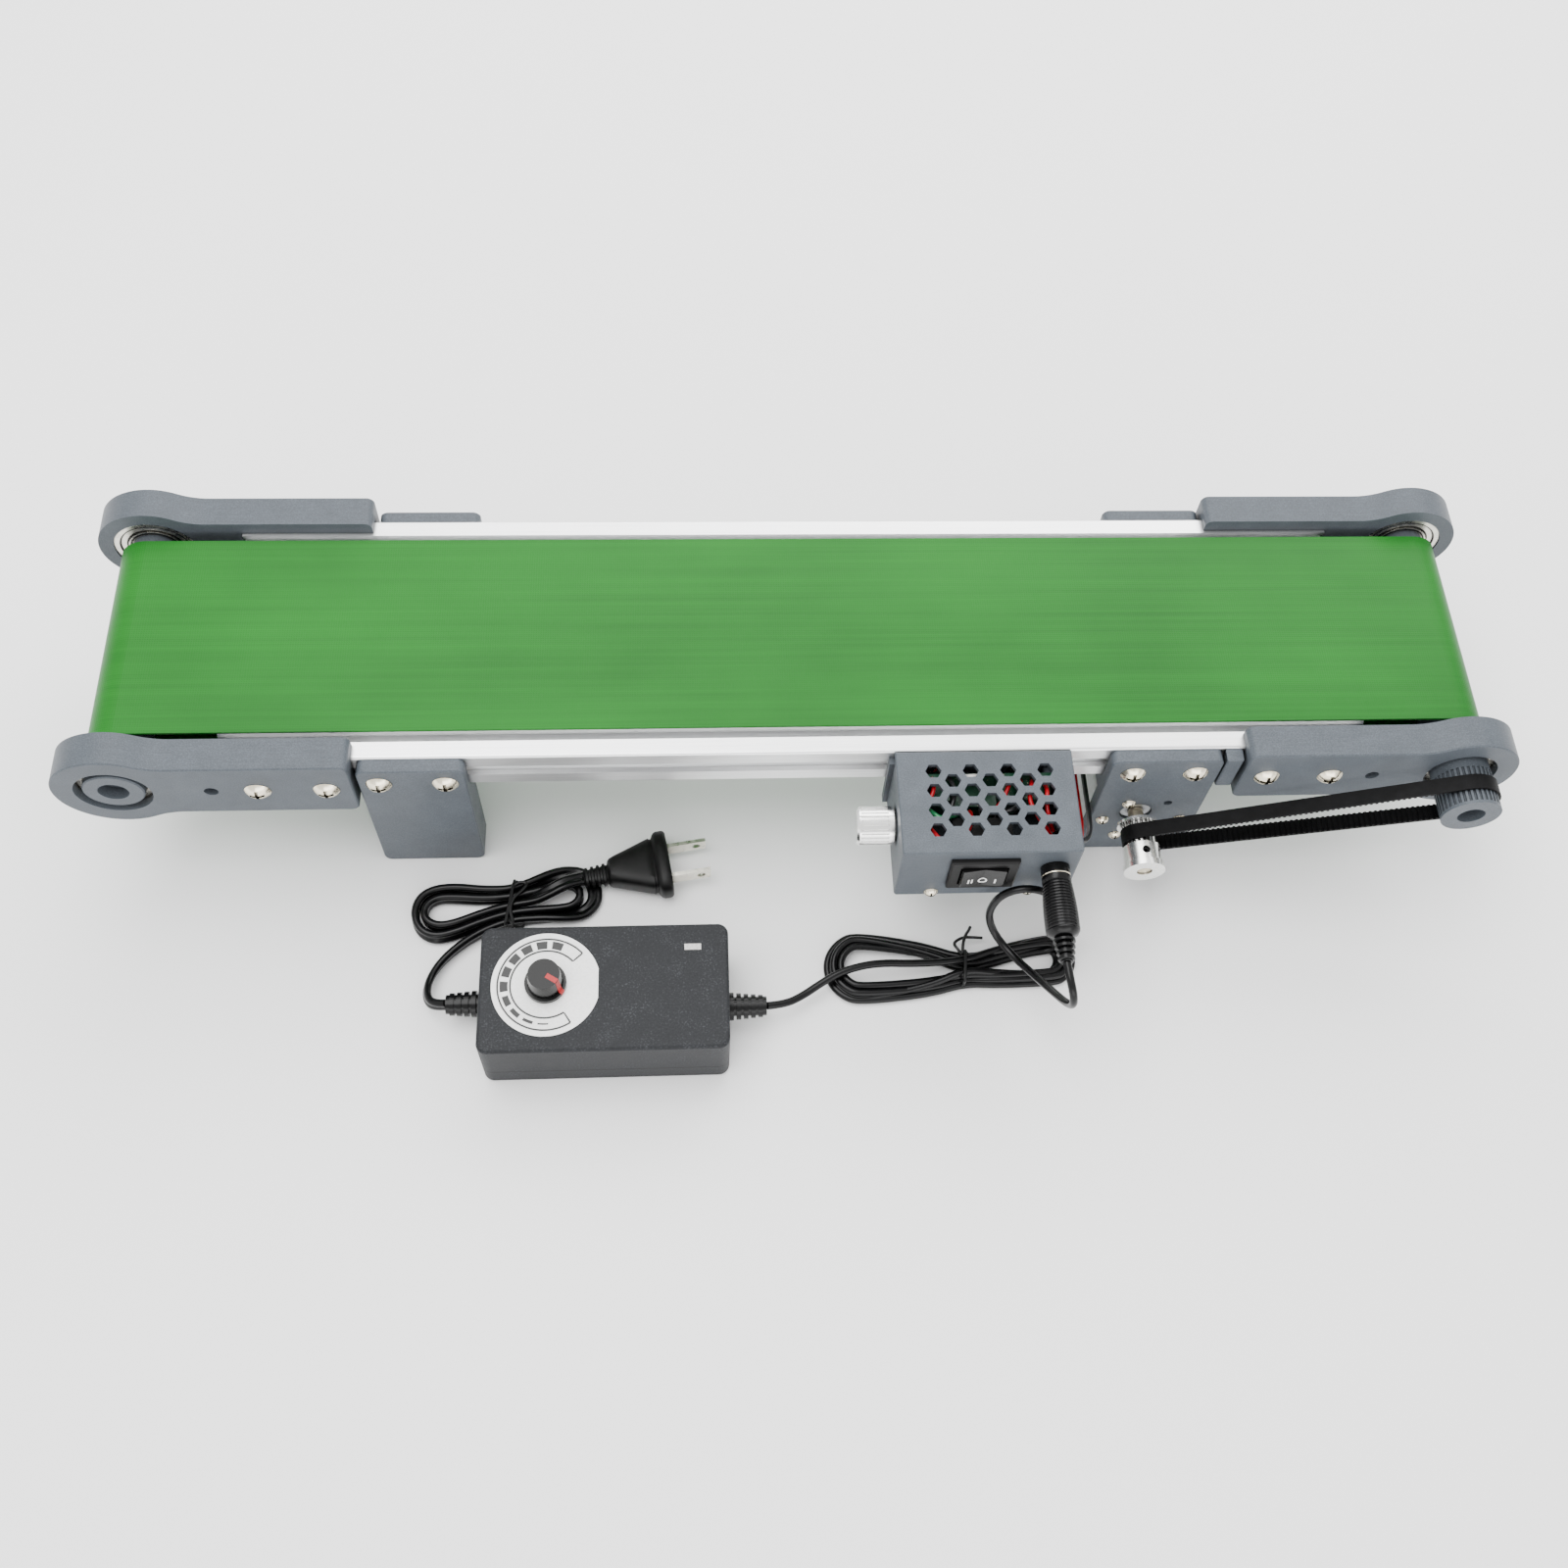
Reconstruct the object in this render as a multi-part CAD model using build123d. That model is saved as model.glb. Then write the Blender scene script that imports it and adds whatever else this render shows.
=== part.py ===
from build123d import *
from math import asin, atan2, cos, degrees, hypot, pi, radians, sin, sqrt, tan
import os

# Desktop belt conveyor section: two slotted aluminium rails under a flat belt, printed end brackets
# with ball bearings, printed feet, a geared motor with a toothed belt drive, a speed control box
# and a mains adapter with its two leads.
# Millimetres, +Z up, floor at Z = 0. X runs along the belt, drive end at +X; the control box and the
# motor are on the -Y side. Pieces are drawn about the belt's middle line and moved at the end, so
# that the origin is the bottom centre of the whole object.

# ---- driving dimensions ----
axis_spacing = 500.0          # between the two roller axes
belt_width = 85.0
belt_thickness = 1.0
drum_radius = 10.9            # bare roller under the belt
belt_lift = 0.1               # running gap between belt and drum
bed_thickness = 1.0
rail_size = 20.0
frame_width = 106.0           # outer face to outer face of the rails
rail_top = 73.5               # height of the rails' top faces
rail_end_gap = 35.0           # from a roller axis to the rail's end
slot_opening = 6.2
slot_lip = 1.8
slot_corner = 2.45            # solid corner inside the lips
slot_depth = 6.1              # from the rail's face to the slot's floor
slot_bevel = 2.7              # between the slot's floor and its sides
rail_bore_radius = 2.1

bracket_reach = 85.0          # from the roller axis to the end of the arm
bracket_wall = 7.2            # outside the rail
bracket_wrap = 5.7            # over and under the rail
arm_half_height = 16.0
head_radius = 21.7
head_blend_radius = 24.0
head_opening_radius = 13.7
corner_round = 3.0
edge_break = 0.5
screw_near = 51.0             # bracket screw distances from the roller axis
screw_far = 75.5
adjust_hole = 34.5
adjust_hole_radius = 2.6
adjust_hole_depth = 5.0

bearing_outer_radius = 16.0
bearing_bore_radius = 7.5
bearing_width = 9.0
bearing_inset = 0.5           # behind the bracket's inner face
ball_radius = 2.35
ball_count = 9
race_ring = 3.0               # radial thickness of the inner ring
outer_ring = 2.5
fit = 0.02                    # radial, pressed or sliding seats
running = 0.05                # radial, turning seats
small_gap = 0.3               # between pieces that move past each other

shoulder_radius = 8.75
collar_radius = 10.85
collar_bore_radius = 5.45
collar_inset = 0.4            # collar face behind the bracket's outer face
axle_radius = 4.0
axle_recess = 5.0             # axle end behind the bracket's outer face

plate_thickness = 5.3         # feet and motor plate, outside the rail
foot_depth = 8.0              # feet reach this far under the rail
foot_top_drop = 0.8
foot_width = 39.0
foot_centre_left = -144.0
foot_centre_right = 145.0
foot_screw_spacing = 24.0
motor_plate_width = 42.5
motor_plate_centre = 135.5
spacer_width = 6.3
spacer_gap = 0.8

m5_radius = 2.5
m5_head_radius = 4.9
m5_head_height = 2.6
screw_reach = 5.2             # M5 screw tips below the rail's face
m5_clearance = 0.25
nut_length = 10.0
nut_width = 7.8
nut_thickness = 3.3

pitch = 2.0                   # toothed belt
drive_teeth = 36
motor_teeth = 20
tip_drop = 0.254              # pitch circle to tooth tip
timing_width = 6.0
timing_reach = 16.5           # toothed belt's middle outside the rails' outer face
timing_back = 0.8
timing_tooth = 0.7
pulley_lift = 0.1
groove_radius = 0.58
drive_pulley_front_reach = 25.0    # pulley faces outside the rails' outer face
drive_pulley_rim = 1.2
drive_pulley_hole_radius = 5.15
drive_pulley_hole_depth = 7.0
drive_pulley_back_reach = 9.5

motor_x = 134.9
motor_z = 25.8
gearbox_radius = 18.5
gearbox_length = 24.0
can_radius = 17.4
can_length = 32.0
terminal_reach = 9.0          # motor terminals beside its axis
motor_screw_circle = 15.5
motor_screw_angles = (0, 120, 180, 240)
motor_open_angle = 60
shaft_offset = 7.0
shaft_angle = 120
shaft_radius = 3.0
shaft_flat = 0.5
boss_radius = 6.0
boss_height = 4.5
motor_pulley_back_reach = 11.6
motor_pulley_hub_reach = 21.2
motor_pulley_rim_reach = 28.6
motor_pulley_front_reach = 31.0
hub_radius = 7.3
rim_radius = 8.0
m3_radius = 1.5
m3_head_radius = 2.7
m3_head_height = 1.9
lead_wire_radius = 1.0
lead_depth = 25.0             # leads' hole outside the rails' outer face
lead_hole_half = 2.6

box_left = 32.7
box_length = 65.9
box_depth = 41.3
box_height = 35.1
box_top_rise = 0.7            # above the rails' top
box_wall = 2.0
box_plate = 3.0               # back plate between the box and the rail
box_floor = 4.0
box_mount_spacing = 29.0      # between the two screws that hold the box to the rail
hex_flat = 5.3
hex_pitch = 8.0
hex_columns = 7
hex_rows = 4
knob_length = 13.7
knob_radius = 7.3
knob_depth = 22.5             # knob's axis outside the rails' outer face
knob_z = 58.0
knob_wall_gap = 0.9
rocker_x = 63.5
rocker_z = 58.5
bezel_width = 25.0
bezel_height = 21.0
bezel_thickness = 2.0
switch_width = 22.0           # behind the bezel
switch_height = 18.6
rocker_half_width = 8.6
rocker_half_height = 6.4
rocker_rise = 1.1             # proud of the bezel
jack_x = 90.0
jack_z = 60.5
jack_collar_radius = 5.4
jack_collar_length = 3.6

adapter_left = -120.3
adapter_length = 91.0
adapter_front = -149.9
adapter_depth = 48.3
adapter_height = 31.4
adapter_seam = 10.0
adapter_wall = 2.0
adapter_corner = 4.0
dial_x = -96.0
dial_y = -124.5
dial_radius = 19.8
dial_chord = 19.0
dial_thickness = 0.3
adapter_knob_radius = 7.6
adapter_knob_height = 10.0
lamp_x = -42.5
lamp_y = -111.0
lamp_length = 6.2
lamp_width = 2.4
relief_length = 14.3
relief_radius = 5.2
relief_y_left = -123.3
relief_y_right = -126.7

dc_radius = 1.5
ac_radius = 2.2
hank_height = 8.0
dc_hank = ((22.0, -108.5, 15.5), (98.0, -104.0, 9.5))     # x, y and radius of each end
ac_hank = ((-141.0, -84.0, 10.5), (-89.5, -76.0, 9.0))
dc_lead_route = (
    (-14.7, -126.7, 10.0), (-7.8, -125.6, 8.2), (-0.6, -121.6, 5.6), (6.8, -116.8, 4.2), (15.0, -113.0, 3.6),
)
dc_loop_route = (
    (90.0, -132.0, 60.5), (90.6, -138.2, 60.0), (92.0, -143.0, 56.0), (92.9, -144.0, 49.5),
    (92.2, -140.0, 41.5), (89.4, -132.0, 33.0), (84.6, -122.4, 25.6), (78.4, -113.2, 21.4),
    (72.6, -105.8, 23.0), (69.2, -101.8, 30.0), (68.9, -100.6, 39.0), (71.6, -99.8, 48.0),
    (78.0, -99.4, 52.6), (86.0, -99.6, 51.4), (93.0, -100.4, 44.6), (97.6, -101.6, 35.0),
    (100.4, -102.8, 24.0), (101.4, -103.6, 13.0), (101.0, -104.0, 5.0),
)
ac_lead_route = (
    (-134.6, -123.3, 10.0), (-139.8, -122.9, 8.6), (-144.3, -118.8, 5.6), (-145.4, -112.0, 3.4),
    (-142.4, -104.6, 2.8), (-136.2, -98.2, 2.6), (-128.2, -93.6, 2.9), (-119.4, -89.6, 3.4),
)
ac_plug_face = (-51.5, -65.6)
ac_plug_turn = 9.0
ac_plug_length = 24.0
ac_plug_relief = 10.0
ac_plug_width = 27.0
ac_plug_height = 14.4
blade_spacing = 12.7
blade_length = 15.5
blade_width = 6.3
blade_thickness = 1.5

# ---- values that follow ----
half_spacing = axis_spacing / 2
rail_half = frame_width / 2
rail_mid = rail_half - rail_size / 2
rail_bottom = rail_top - rail_size
axis_z = rail_top + bed_thickness - drum_radius - belt_lift
rail_axis_z = rail_top - rail_size / 2
rail_end = half_spacing - rail_end_gap
bracket_outer = rail_half + bracket_wall
bracket_inner = rail_half - bracket_wrap
bearing_near = bracket_inner + bearing_inset
bearing_far = bearing_near + bearing_width
bearing_pitch_radius = (bearing_bore_radius + race_ring + bearing_outer_radius - outer_ring) / 2
plate_outer = rail_half + plate_thickness
timing_y = -rail_half - timing_reach
drive_pulley_front = -rail_half - drive_pulley_front_reach
drive_pulley_back = -rail_half - drive_pulley_back_reach
motor_pulley_back = -rail_half - motor_pulley_back_reach
motor_pulley_hub = -rail_half - motor_pulley_hub_reach
motor_pulley_rim = -rail_half - motor_pulley_rim_reach
motor_pulley_front = -rail_half - motor_pulley_front_reach
knob_y = -rail_half - knob_depth
lead_y = -rail_half - lead_depth
drive_tip = drive_teeth * pitch / pi / 2 - tip_drop
motor_tip = motor_teeth * pitch / pi / 2 - tip_drop
shaft_x = motor_x + shaft_offset * cos(radians(shaft_angle))
shaft_z = motor_z + shaft_offset * sin(radians(shaft_angle))
box_right = box_left + box_length
box_top = rail_top + box_top_rise
box_bottom = box_top - box_height
box_front = -rail_half - 0.6 - box_depth
box_back = -rail_half - box_plate
relief_z = adapter_seam
adapter_right = adapter_left + adapter_length
adapter_back = adapter_front + adapter_depth
back_reach = bracket_outer + m5_head_height
origin_y = (adapter_front + back_reach) / 2


def save(name, *shapes):
    solids = []
    for shape in shapes:
        solids += shape.solids()
    node = solids[0] if len(solids) == 1 else Compound(children=solids)
    export_step(node.moved(Location((0, -origin_y, 0))), "parts/" + name + ".step")


def block(x0, x1, y0, y1, z0, z1):
    middle = ((x0 + x1) / 2, (y0 + y1) / 2, (z0 + z1) / 2)
    return Pos(*middle) * Box(abs(x1 - x0), abs(y1 - y0), abs(z1 - z0))


def rod_y(x, z, radius, y0, y1):
    return Pos(x, (y0 + y1) / 2, z) * Rot(90, 0, 0) * Cylinder(radius, abs(y1 - y0))


def rod_x(y, z, radius, x0, x1):
    return Pos((x0 + x1) / 2, y, z) * Rot(0, 90, 0) * Cylinder(radius, abs(x1 - x0))


def rod_z(x, y, radius, z0, z1):
    return Pos(x, y, (z0 + z1) / 2) * Cylinder(radius, abs(z1 - z0))


def slab_y(outline, y0, y1):
    """An outline drawn in X and Z, made solid between two Y planes."""
    low = min(y0, y1)
    return Pos(0, low + abs(y1 - y0), 0) * Rot(90, 0, 0) * extrude(outline, abs(y1 - y0))


def slab_z(outline, z0, z1):
    return Pos(0, 0, z0) * extrude(outline, z1 - z0)


def at(x, y, outline):
    return Pos(x, y) * outline


def drum(y0, y1, radius, x):
    return rod_y(x, axis_z, radius, y0, y1)


def band(x0, z0, r0, x1, z1, r1):
    """Outline of a taut band round two circles."""
    run = hypot(x1 - x0, z1 - z0)
    along = atan2(z1 - z0, x1 - x0)
    lean = asin((r0 - r1) / run)
    corners = []
    for side in (1, -1):
        angle = along + side * (pi / 2 - lean)
        corners.append((side, 0, x0 + r0 * cos(angle), z0 + r0 * sin(angle)))
        corners.append((side, 1, x1 + r1 * cos(angle), z1 + r1 * sin(angle)))
    order = [corners[0], corners[1], corners[3], corners[2]]
    sides = make_face(Polyline(*[(c[2], c[3]) for c in order], close=True))
    return at(x0, z0, Circle(r0)) + at(x1, z1, Circle(r1)) + sides


# ---- rails and bed ----
def slot_cut():
    half_open = slot_opening / 2
    lip = rail_size / 2 - slot_lip
    half_cavity = lip - slot_corner
    slot_floor = rail_size / 2 - slot_depth
    bevel = slot_bevel
    points = [
        (half_open, rail_size / 2 + 1), (half_open, lip), (half_cavity, lip),
        (half_cavity, slot_floor + bevel), (half_cavity - bevel, slot_floor),
    ]
    mirrored = [(-x, y) for x, y in reversed(points)]
    return make_face(Polyline(*points, *mirrored, close=True))


def rail_profile():
    profile = fillet(Rectangle(rail_size, rail_size).vertices(), 1.0)
    for turn in range(4):
        profile -= Rot(0, 0, 90 * turn) * slot_cut()
    return profile - Circle(rail_bore_radius)


def rail(side):
    bar = extrude(rail_profile(), rail_end, both=True)
    return Pos(0, side * rail_mid, rail_axis_z) * Rot(0, 90, 0) * bar


def bed_plate():
    half_width = rail_mid - 2.0
    return block(-rail_end, rail_end, -half_width, half_width, rail_top, rail_top + bed_thickness)


def conveyor_belt():
    inner = drum_radius + belt_lift
    outer = inner + belt_thickness
    ends = (-half_spacing, axis_z, half_spacing, axis_z)
    loop = band(ends[0], ends[1], outer, ends[2], ends[3], outer)
    loop -= band(ends[0], ends[1], inner, ends[2], ends[3], inner)
    return slab_y(loop, -belt_width / 2, belt_width / 2)


# ---- end brackets ----
def bracket_outline():
    """Head and arm of the left end's bracket, about its roller axis."""
    arm = at(bracket_reach / 2, rail_axis_z - axis_z, Rectangle(bracket_reach, 2 * arm_half_height))
    arm = fillet(arm.vertices().sort_by(Axis.X)[-2:], corner_round)
    shape = arm + Circle(head_radius)
    neck = [v for v in shape.vertices() if 0 < v.X < head_radius]
    return fillet(neck, head_blend_radius)


def bracket(end, side):
    """end is -1 for the tail and 1 for the drive, side -1 for the front and 1 for the back."""
    outline = at(-half_spacing, axis_z, bracket_outline())
    body = slab_y(outline, bracket_inner, bracket_outer)
    rims = [e for e in body.edges() if abs(e.center().Y - bracket_outer) < 0.01]
    body = chamfer(rims, edge_break)
    body -= block(-rail_end - fit, 0, 0, rail_half, rail_bottom, rail_top)
    body -= drum(0, bearing_far, bearing_outer_radius + fit, -half_spacing)
    body -= drum(0, bracket_outer + 1, head_opening_radius, -half_spacing)
    hole = m5_radius + m5_clearance
    for distance in (screw_near, screw_far):
        body -= rod_y(distance - half_spacing, rail_axis_z, hole, 0, bracket_outer + 1)
    deep = bracket_outer - adjust_hole_depth
    body -= rod_y(adjust_hole - half_spacing, rail_axis_z, adjust_hole_radius, deep, bracket_outer + 1)
    if end > 0:
        body = mirror(body, about=Plane.YZ)
    if side < 0:
        body = mirror(body, about=Plane.XZ)
    return body


# ---- bearings ----
def ring(y0, y1, inner, outer, x):
    return drum(y0, y1, outer, x) - drum(y0 - 1, y1 + 1, inner, x)


def race_groove(x, y):
    return Pos(x, y, axis_z) * Rot(90, 0, 0) * Torus(bearing_pitch_radius, ball_radius + 0.12)


def bearing_places():
    for x in (-half_spacing, half_spacing):
        for side in (-1, 1):
            yield x, side


def bearing_inner(x, side):
    middle = side * (bearing_near + bearing_width / 2)
    low = middle - bearing_width / 2
    body = ring(low, low + bearing_width, bearing_bore_radius, bearing_bore_radius + race_ring, x)
    return body - race_groove(x, middle)


def bearing_outer(x, side):
    middle = side * (bearing_near + bearing_width / 2)
    low = middle - bearing_width / 2
    body = ring(low, low + bearing_width, bearing_outer_radius - outer_ring, bearing_outer_radius, x)
    return body - race_groove(x, middle)


def bearing_shields_at(x, side):
    shields = []
    for face in (bearing_near + 0.5, bearing_far - 0.9):
        y0 = side * face
        y1 = side * (face + 0.4)
        inner = bearing_bore_radius + race_ring + small_gap
        outer = bearing_outer_radius - outer_ring - fit
        shields.append(ring(min(y0, y1), max(y0, y1), inner, outer, x))
    return shields


def bearing_balls_at(x, side):
    middle = side * (bearing_near + bearing_width / 2)
    balls = []
    for index in range(ball_count):
        angle = 2 * pi * index / ball_count
        place = (x + bearing_pitch_radius * cos(angle), middle, axis_z + bearing_pitch_radius * sin(angle))
        balls.append(Pos(*place) * Sphere(ball_radius))
    return balls


# ---- rollers ----
def roller_drum(x):
    half_face = belt_width / 2 + 1.0
    body = drum(-half_face, half_face, drum_radius, x)
    body += drum(-bearing_near, bearing_near, shoulder_radius, x)
    body += drum(-bearing_far, bearing_far, bearing_bore_radius - fit, x)
    end = bracket_outer - axle_recess
    body -= drum(-bearing_far - 1, bearing_far + 1, axle_radius + fit, x)
    for side in (-1, 1):
        body -= drum(side * end, side * (bearing_far + 1), collar_bore_radius, x)
    return body


def roller_axle(x):
    end = bracket_outer - axle_recess
    body = chamfer(drum(-end, end, axle_radius, x).edges(), 0.4)
    for side in (-1, 1):
        slot = block(x - axle_radius, x + axle_radius, side * end, side * (end - 1.2), -0.5, 0.5)
        body -= Pos(0, 0, axis_z) * slot
    return body


def roller_collar(x, side):
    outer = bracket_outer - collar_inset
    body = drum(side * bearing_far, side * outer, collar_radius, x)
    face = [e for e in body.edges() if abs(abs(e.center().Y) - outer) < 0.01]
    body = chamfer(face, edge_break)
    return body - drum(side * bearing_far, side * (outer + 1), collar_bore_radius, x)


def grooved_disc(teeth, tip_radius):
    disc = Circle(tip_radius)
    for index in range(teeth):
        angle = 360 * index / teeth
        disc -= Rot(0, 0, angle) * at(tip_radius - 0.18, 0, Circle(groove_radius))
    return disc


def drive_pulley():
    x = half_spacing
    teeth = slab_y(at(x, axis_z, grooved_disc(drive_teeth, drive_tip)), drive_pulley_front, drive_pulley_back)
    body = teeth + drum(drive_pulley_back, -bearing_far, collar_radius, x)
    body += drum(drive_pulley_front, drive_pulley_front + drive_pulley_rim, drive_tip, x)
    bottom = drive_pulley_front + drive_pulley_hole_depth
    body -= drum(drive_pulley_front - 1, bottom, drive_pulley_hole_radius, x)
    return body - drum(-bracket_outer + axle_recess - 1, -bearing_far, collar_bore_radius, x)


# ---- feet and motor plate ----
def foot_outline(width):
    """Plate drawn in X and Z about its middle, from the floor to just under the rail's top."""
    height = rail_top - foot_top_drop
    plate = at(0, height / 2, Rectangle(width, height))
    return fillet(plate.vertices(), corner_round)


def foot(centre, side, width):
    outline = at(centre, 0, foot_outline(width))
    plate = slab_y(outline, rail_half, plate_outer)
    lower = block(centre - width / 2, centre + width / 2, rail_half - foot_depth, plate_outer, 0, rail_bottom)
    upright = [e for e in lower.edges().filter_by(Axis.Y) if e.center().Z < 1]
    lower = fillet(upright, corner_round)
    body = plate + lower
    rims = [e for e in body.edges() if abs(e.center().Y - plate_outer) < 0.01]
    body = chamfer(rims, edge_break)
    for offset in (-foot_screw_spacing / 2, foot_screw_spacing / 2):
        body -= rod_y(centre + offset, rail_axis_z, m5_radius + m5_clearance, 0, plate_outer + 1)
    return body if side > 0 else mirror(body, about=Plane.XZ)


def motor_plate():
    body = foot(motor_plate_centre, -1, motor_plate_width)
    room = gearbox_radius + 0.4
    left = motor_plate_centre - motor_plate_width / 2 - 1
    right = motor_plate_centre + motor_plate_width / 2 + 1
    body -= block(left, right, -rail_half, -rail_half + foot_depth + 1, -1, motor_z + room)
    body -= rod_y(shaft_x, shaft_z, boss_radius + small_gap, -plate_outer - 1, 0)
    for angle in motor_screw_angles + (motor_open_angle,):
        x, z = motor_hole(angle)
        body -= rod_y(x, z, m3_radius + 0.2, -plate_outer - 1, 0)
    return body


def motor_hole(angle):
    turn = radians(angle)
    return motor_x + motor_screw_circle * cos(turn), motor_z + motor_screw_circle * sin(turn)


def rail_spacer():
    left = motor_plate_centre + motor_plate_width / 2 + spacer_gap
    bar = block(left, left + spacer_width, -plate_outer, -rail_half, rail_bottom, rail_top - foot_top_drop)
    return chamfer(bar.edges().filter_by(Axis.Z), edge_break)


# ---- fasteners ----
def cross_recess(radius, depth, top):
    arm = radius * 1.1
    width = radius * 0.26
    cut = Pos(0, 0, top) * Box(arm, width, 2 * depth)
    return cut + Pos(0, 0, top) * Box(width, arm, 2 * depth)


def pan_screw(radius, head_radius, head_height, length):
    """Shank down -Z from the seat at Z = 0, domed head above."""
    ball = (head_radius**2 + head_height**2) / 2 / head_height
    head = Pos(0, 0, head_height - ball) * Sphere(ball)
    head = head & Pos(0, 0, head_height / 2) * Cylinder(head_radius * 0.98, head_height)
    body = head + Pos(0, 0, -length / 2) * Cylinder(radius, length)
    return body - cross_recess(head_radius, head_height * 0.5, head_height)


def m5_screw(x, side, face):
    screw = pan_screw(m5_radius, m5_head_radius, m5_head_height, face - rail_half + screw_reach)
    return Pos(x, side * face, rail_axis_z) * Rot(-90 * side, 0, 0) * screw


def slot_nut(x, side):
    lip = rail_half - slot_lip
    half = nut_width / 2
    left = x - nut_length / 2
    body = block(left, left + nut_length, lip - nut_thickness, lip, rail_axis_z - half, rail_axis_z + half)
    body -= rod_y(x, rail_axis_z, m5_radius + running, 0, rail_half)
    return body if side > 0 else mirror(body, about=Plane.XZ)


def screw_places():
    """X, side and seat face of every M5 screw into the rails' outer slots."""
    for side in (-1, 1):
        for end in (-1, 1):
            for distance in (screw_near, screw_far):
                yield end * (half_spacing - distance), side, bracket_outer
    half = foot_screw_spacing / 2
    for offset in (-half, half):
        yield foot_centre_left + offset, -1, plate_outer
        yield foot_centre_left + offset, 1, plate_outer
        yield foot_centre_right + offset, 1, plate_outer
        yield motor_plate_centre + offset, -1, plate_outer
    for x in box_mount_places():
        yield x, -1, rail_half + box_plate


def box_mount_places():
    middle = box_left + box_length / 2
    return middle - box_mount_spacing / 2, middle + box_mount_spacing / 2


def m3_screws():
    screws = []
    screw = pan_screw(m3_radius, m3_head_radius, m3_head_height, 7.5)
    for angle in motor_screw_angles:
        x, z = motor_hole(angle)
        screws.append(Pos(x, -plate_outer, z) * Rot(90, 0, 0) * screw)
    for x in box_screw_places():
        screws.append(Pos(x, box_front, box_screw_z()) * Rot(90, 0, 0) * screw)
    return screws


def box_screw_places():
    return box_left + 13.7, box_right - 15.8


def box_screw_z():
    return box_bottom + 0.2 + box_floor / 2


# ---- motor and toothed belt ----
def motor_gearbox():
    body = rod_y(motor_x, motor_z, gearbox_radius, -rail_half, -rail_half + gearbox_length)
    body = chamfer(body.edges(), 0.6)
    body += rod_y(shaft_x, shaft_z, boss_radius, -rail_half - boss_height, -rail_half + 1)
    body -= rod_y(shaft_x, shaft_z, shaft_radius + running, -rail_half - boss_height - 1, -rail_half + 12)
    for angle in motor_screw_angles + (motor_open_angle,):
        x, z = motor_hole(angle)
        body -= rod_y(x, z, m3_radius + running, -rail_half - 1, -rail_half + 4)
    return body


def motor_can():
    front = -rail_half + gearbox_length
    back = front + can_length
    body = rod_y(motor_x, motor_z, can_radius, front, back)
    body = fillet([e for e in body.edges() if abs(e.center().Y - back) < 0.01], 2.0)
    body += rod_y(motor_x, motor_z, 6.5, back - 1, back + 2)
    for x in terminal_places():
        body += block(x - 1.5, x + 1.5, back - 1, back + 5, motor_z - 0.4, motor_z + 0.4)
    return body


def motor_shaft():
    back = -rail_half + 11
    front = motor_pulley_front + 0.6
    body = rod_y(shaft_x, shaft_z, shaft_radius, front, back)
    flat_z = shaft_z + shaft_radius - shaft_flat
    flat = block(shaft_x - 4, shaft_x + 4, front - 1, -rail_half - boss_height - 1, flat_z, shaft_z + 4)
    return body - flat


def motor_pulley():
    outline = at(shaft_x, shaft_z, grooved_disc(motor_teeth, motor_tip))
    teeth = slab_y(outline, motor_pulley_hub, motor_pulley_back)
    body = teeth + rod_y(shaft_x, shaft_z, hub_radius, motor_pulley_rim, motor_pulley_hub)
    body += rod_y(shaft_x, shaft_z, rim_radius, motor_pulley_back, motor_pulley_back + 1.0)
    body += rod_y(shaft_x, shaft_z, rim_radius, motor_pulley_front, motor_pulley_rim)
    body -= rod_y(shaft_x, shaft_z, shaft_radius + fit, motor_pulley_front - 1, 0)
    return body - set_screw_hole()


def set_screw_hole():
    middle = (motor_pulley_hub + motor_pulley_rim) / 2
    return rod_z(shaft_x, middle, 1.5 + running, shaft_z, shaft_z + rim_radius)


def motor_set_screw():
    middle = (motor_pulley_hub + motor_pulley_rim) / 2
    low = shaft_radius - shaft_flat + 0.05
    top = hub_radius - 1.2
    screw = rod_z(shaft_x, middle, 1.5, shaft_z + low, shaft_z + top)
    socket = at(shaft_x, middle, RegularPolygon(0.75, 6))
    return screw - slab_z(socket, shaft_z + top - 1.4, shaft_z + top + 1)


def timing_belt():
    x0, z0, x1, z1 = shaft_x, shaft_z, half_spacing, axis_z
    r0 = motor_tip + pulley_lift
    r1 = drive_tip + pulley_lift
    outline = band(x0, z0, r0 + timing_back, x1, z1, r1 + timing_back) - band(x0, z0, r0, x1, z1, r1)
    run = hypot(x1 - x0, z1 - z0)
    along = atan2(z1 - z0, x1 - x0)
    lean = asin((r0 - r1) / run)
    free = sqrt(run**2 - (r1 - r0) ** 2)
    tooth = Rectangle(pitch / 2, timing_tooth + 0.2)
    keep_off = 2 * pitch
    count = int((free - 2 * keep_off) / pitch)
    for side in (1, -1):
        angle = along + side * (pi / 2 - lean)
        heading = degrees(angle) - side * 90
        start = (x0 + r0 * cos(angle), z0 + r0 * sin(angle))
        step = (cos(radians(heading)), sin(radians(heading)))
        for index in range(count):
            reach = keep_off + pitch * (index + 0.5)
            middle = Pos(start[0] + reach * step[0], start[1] + reach * step[1]) * Rot(0, 0, heading)
            outline += middle * at(0, -side * (timing_tooth - 0.2) / 2, tooth)
    half = timing_width / 2
    return slab_y(outline, timing_y - half, timing_y + half)


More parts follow.
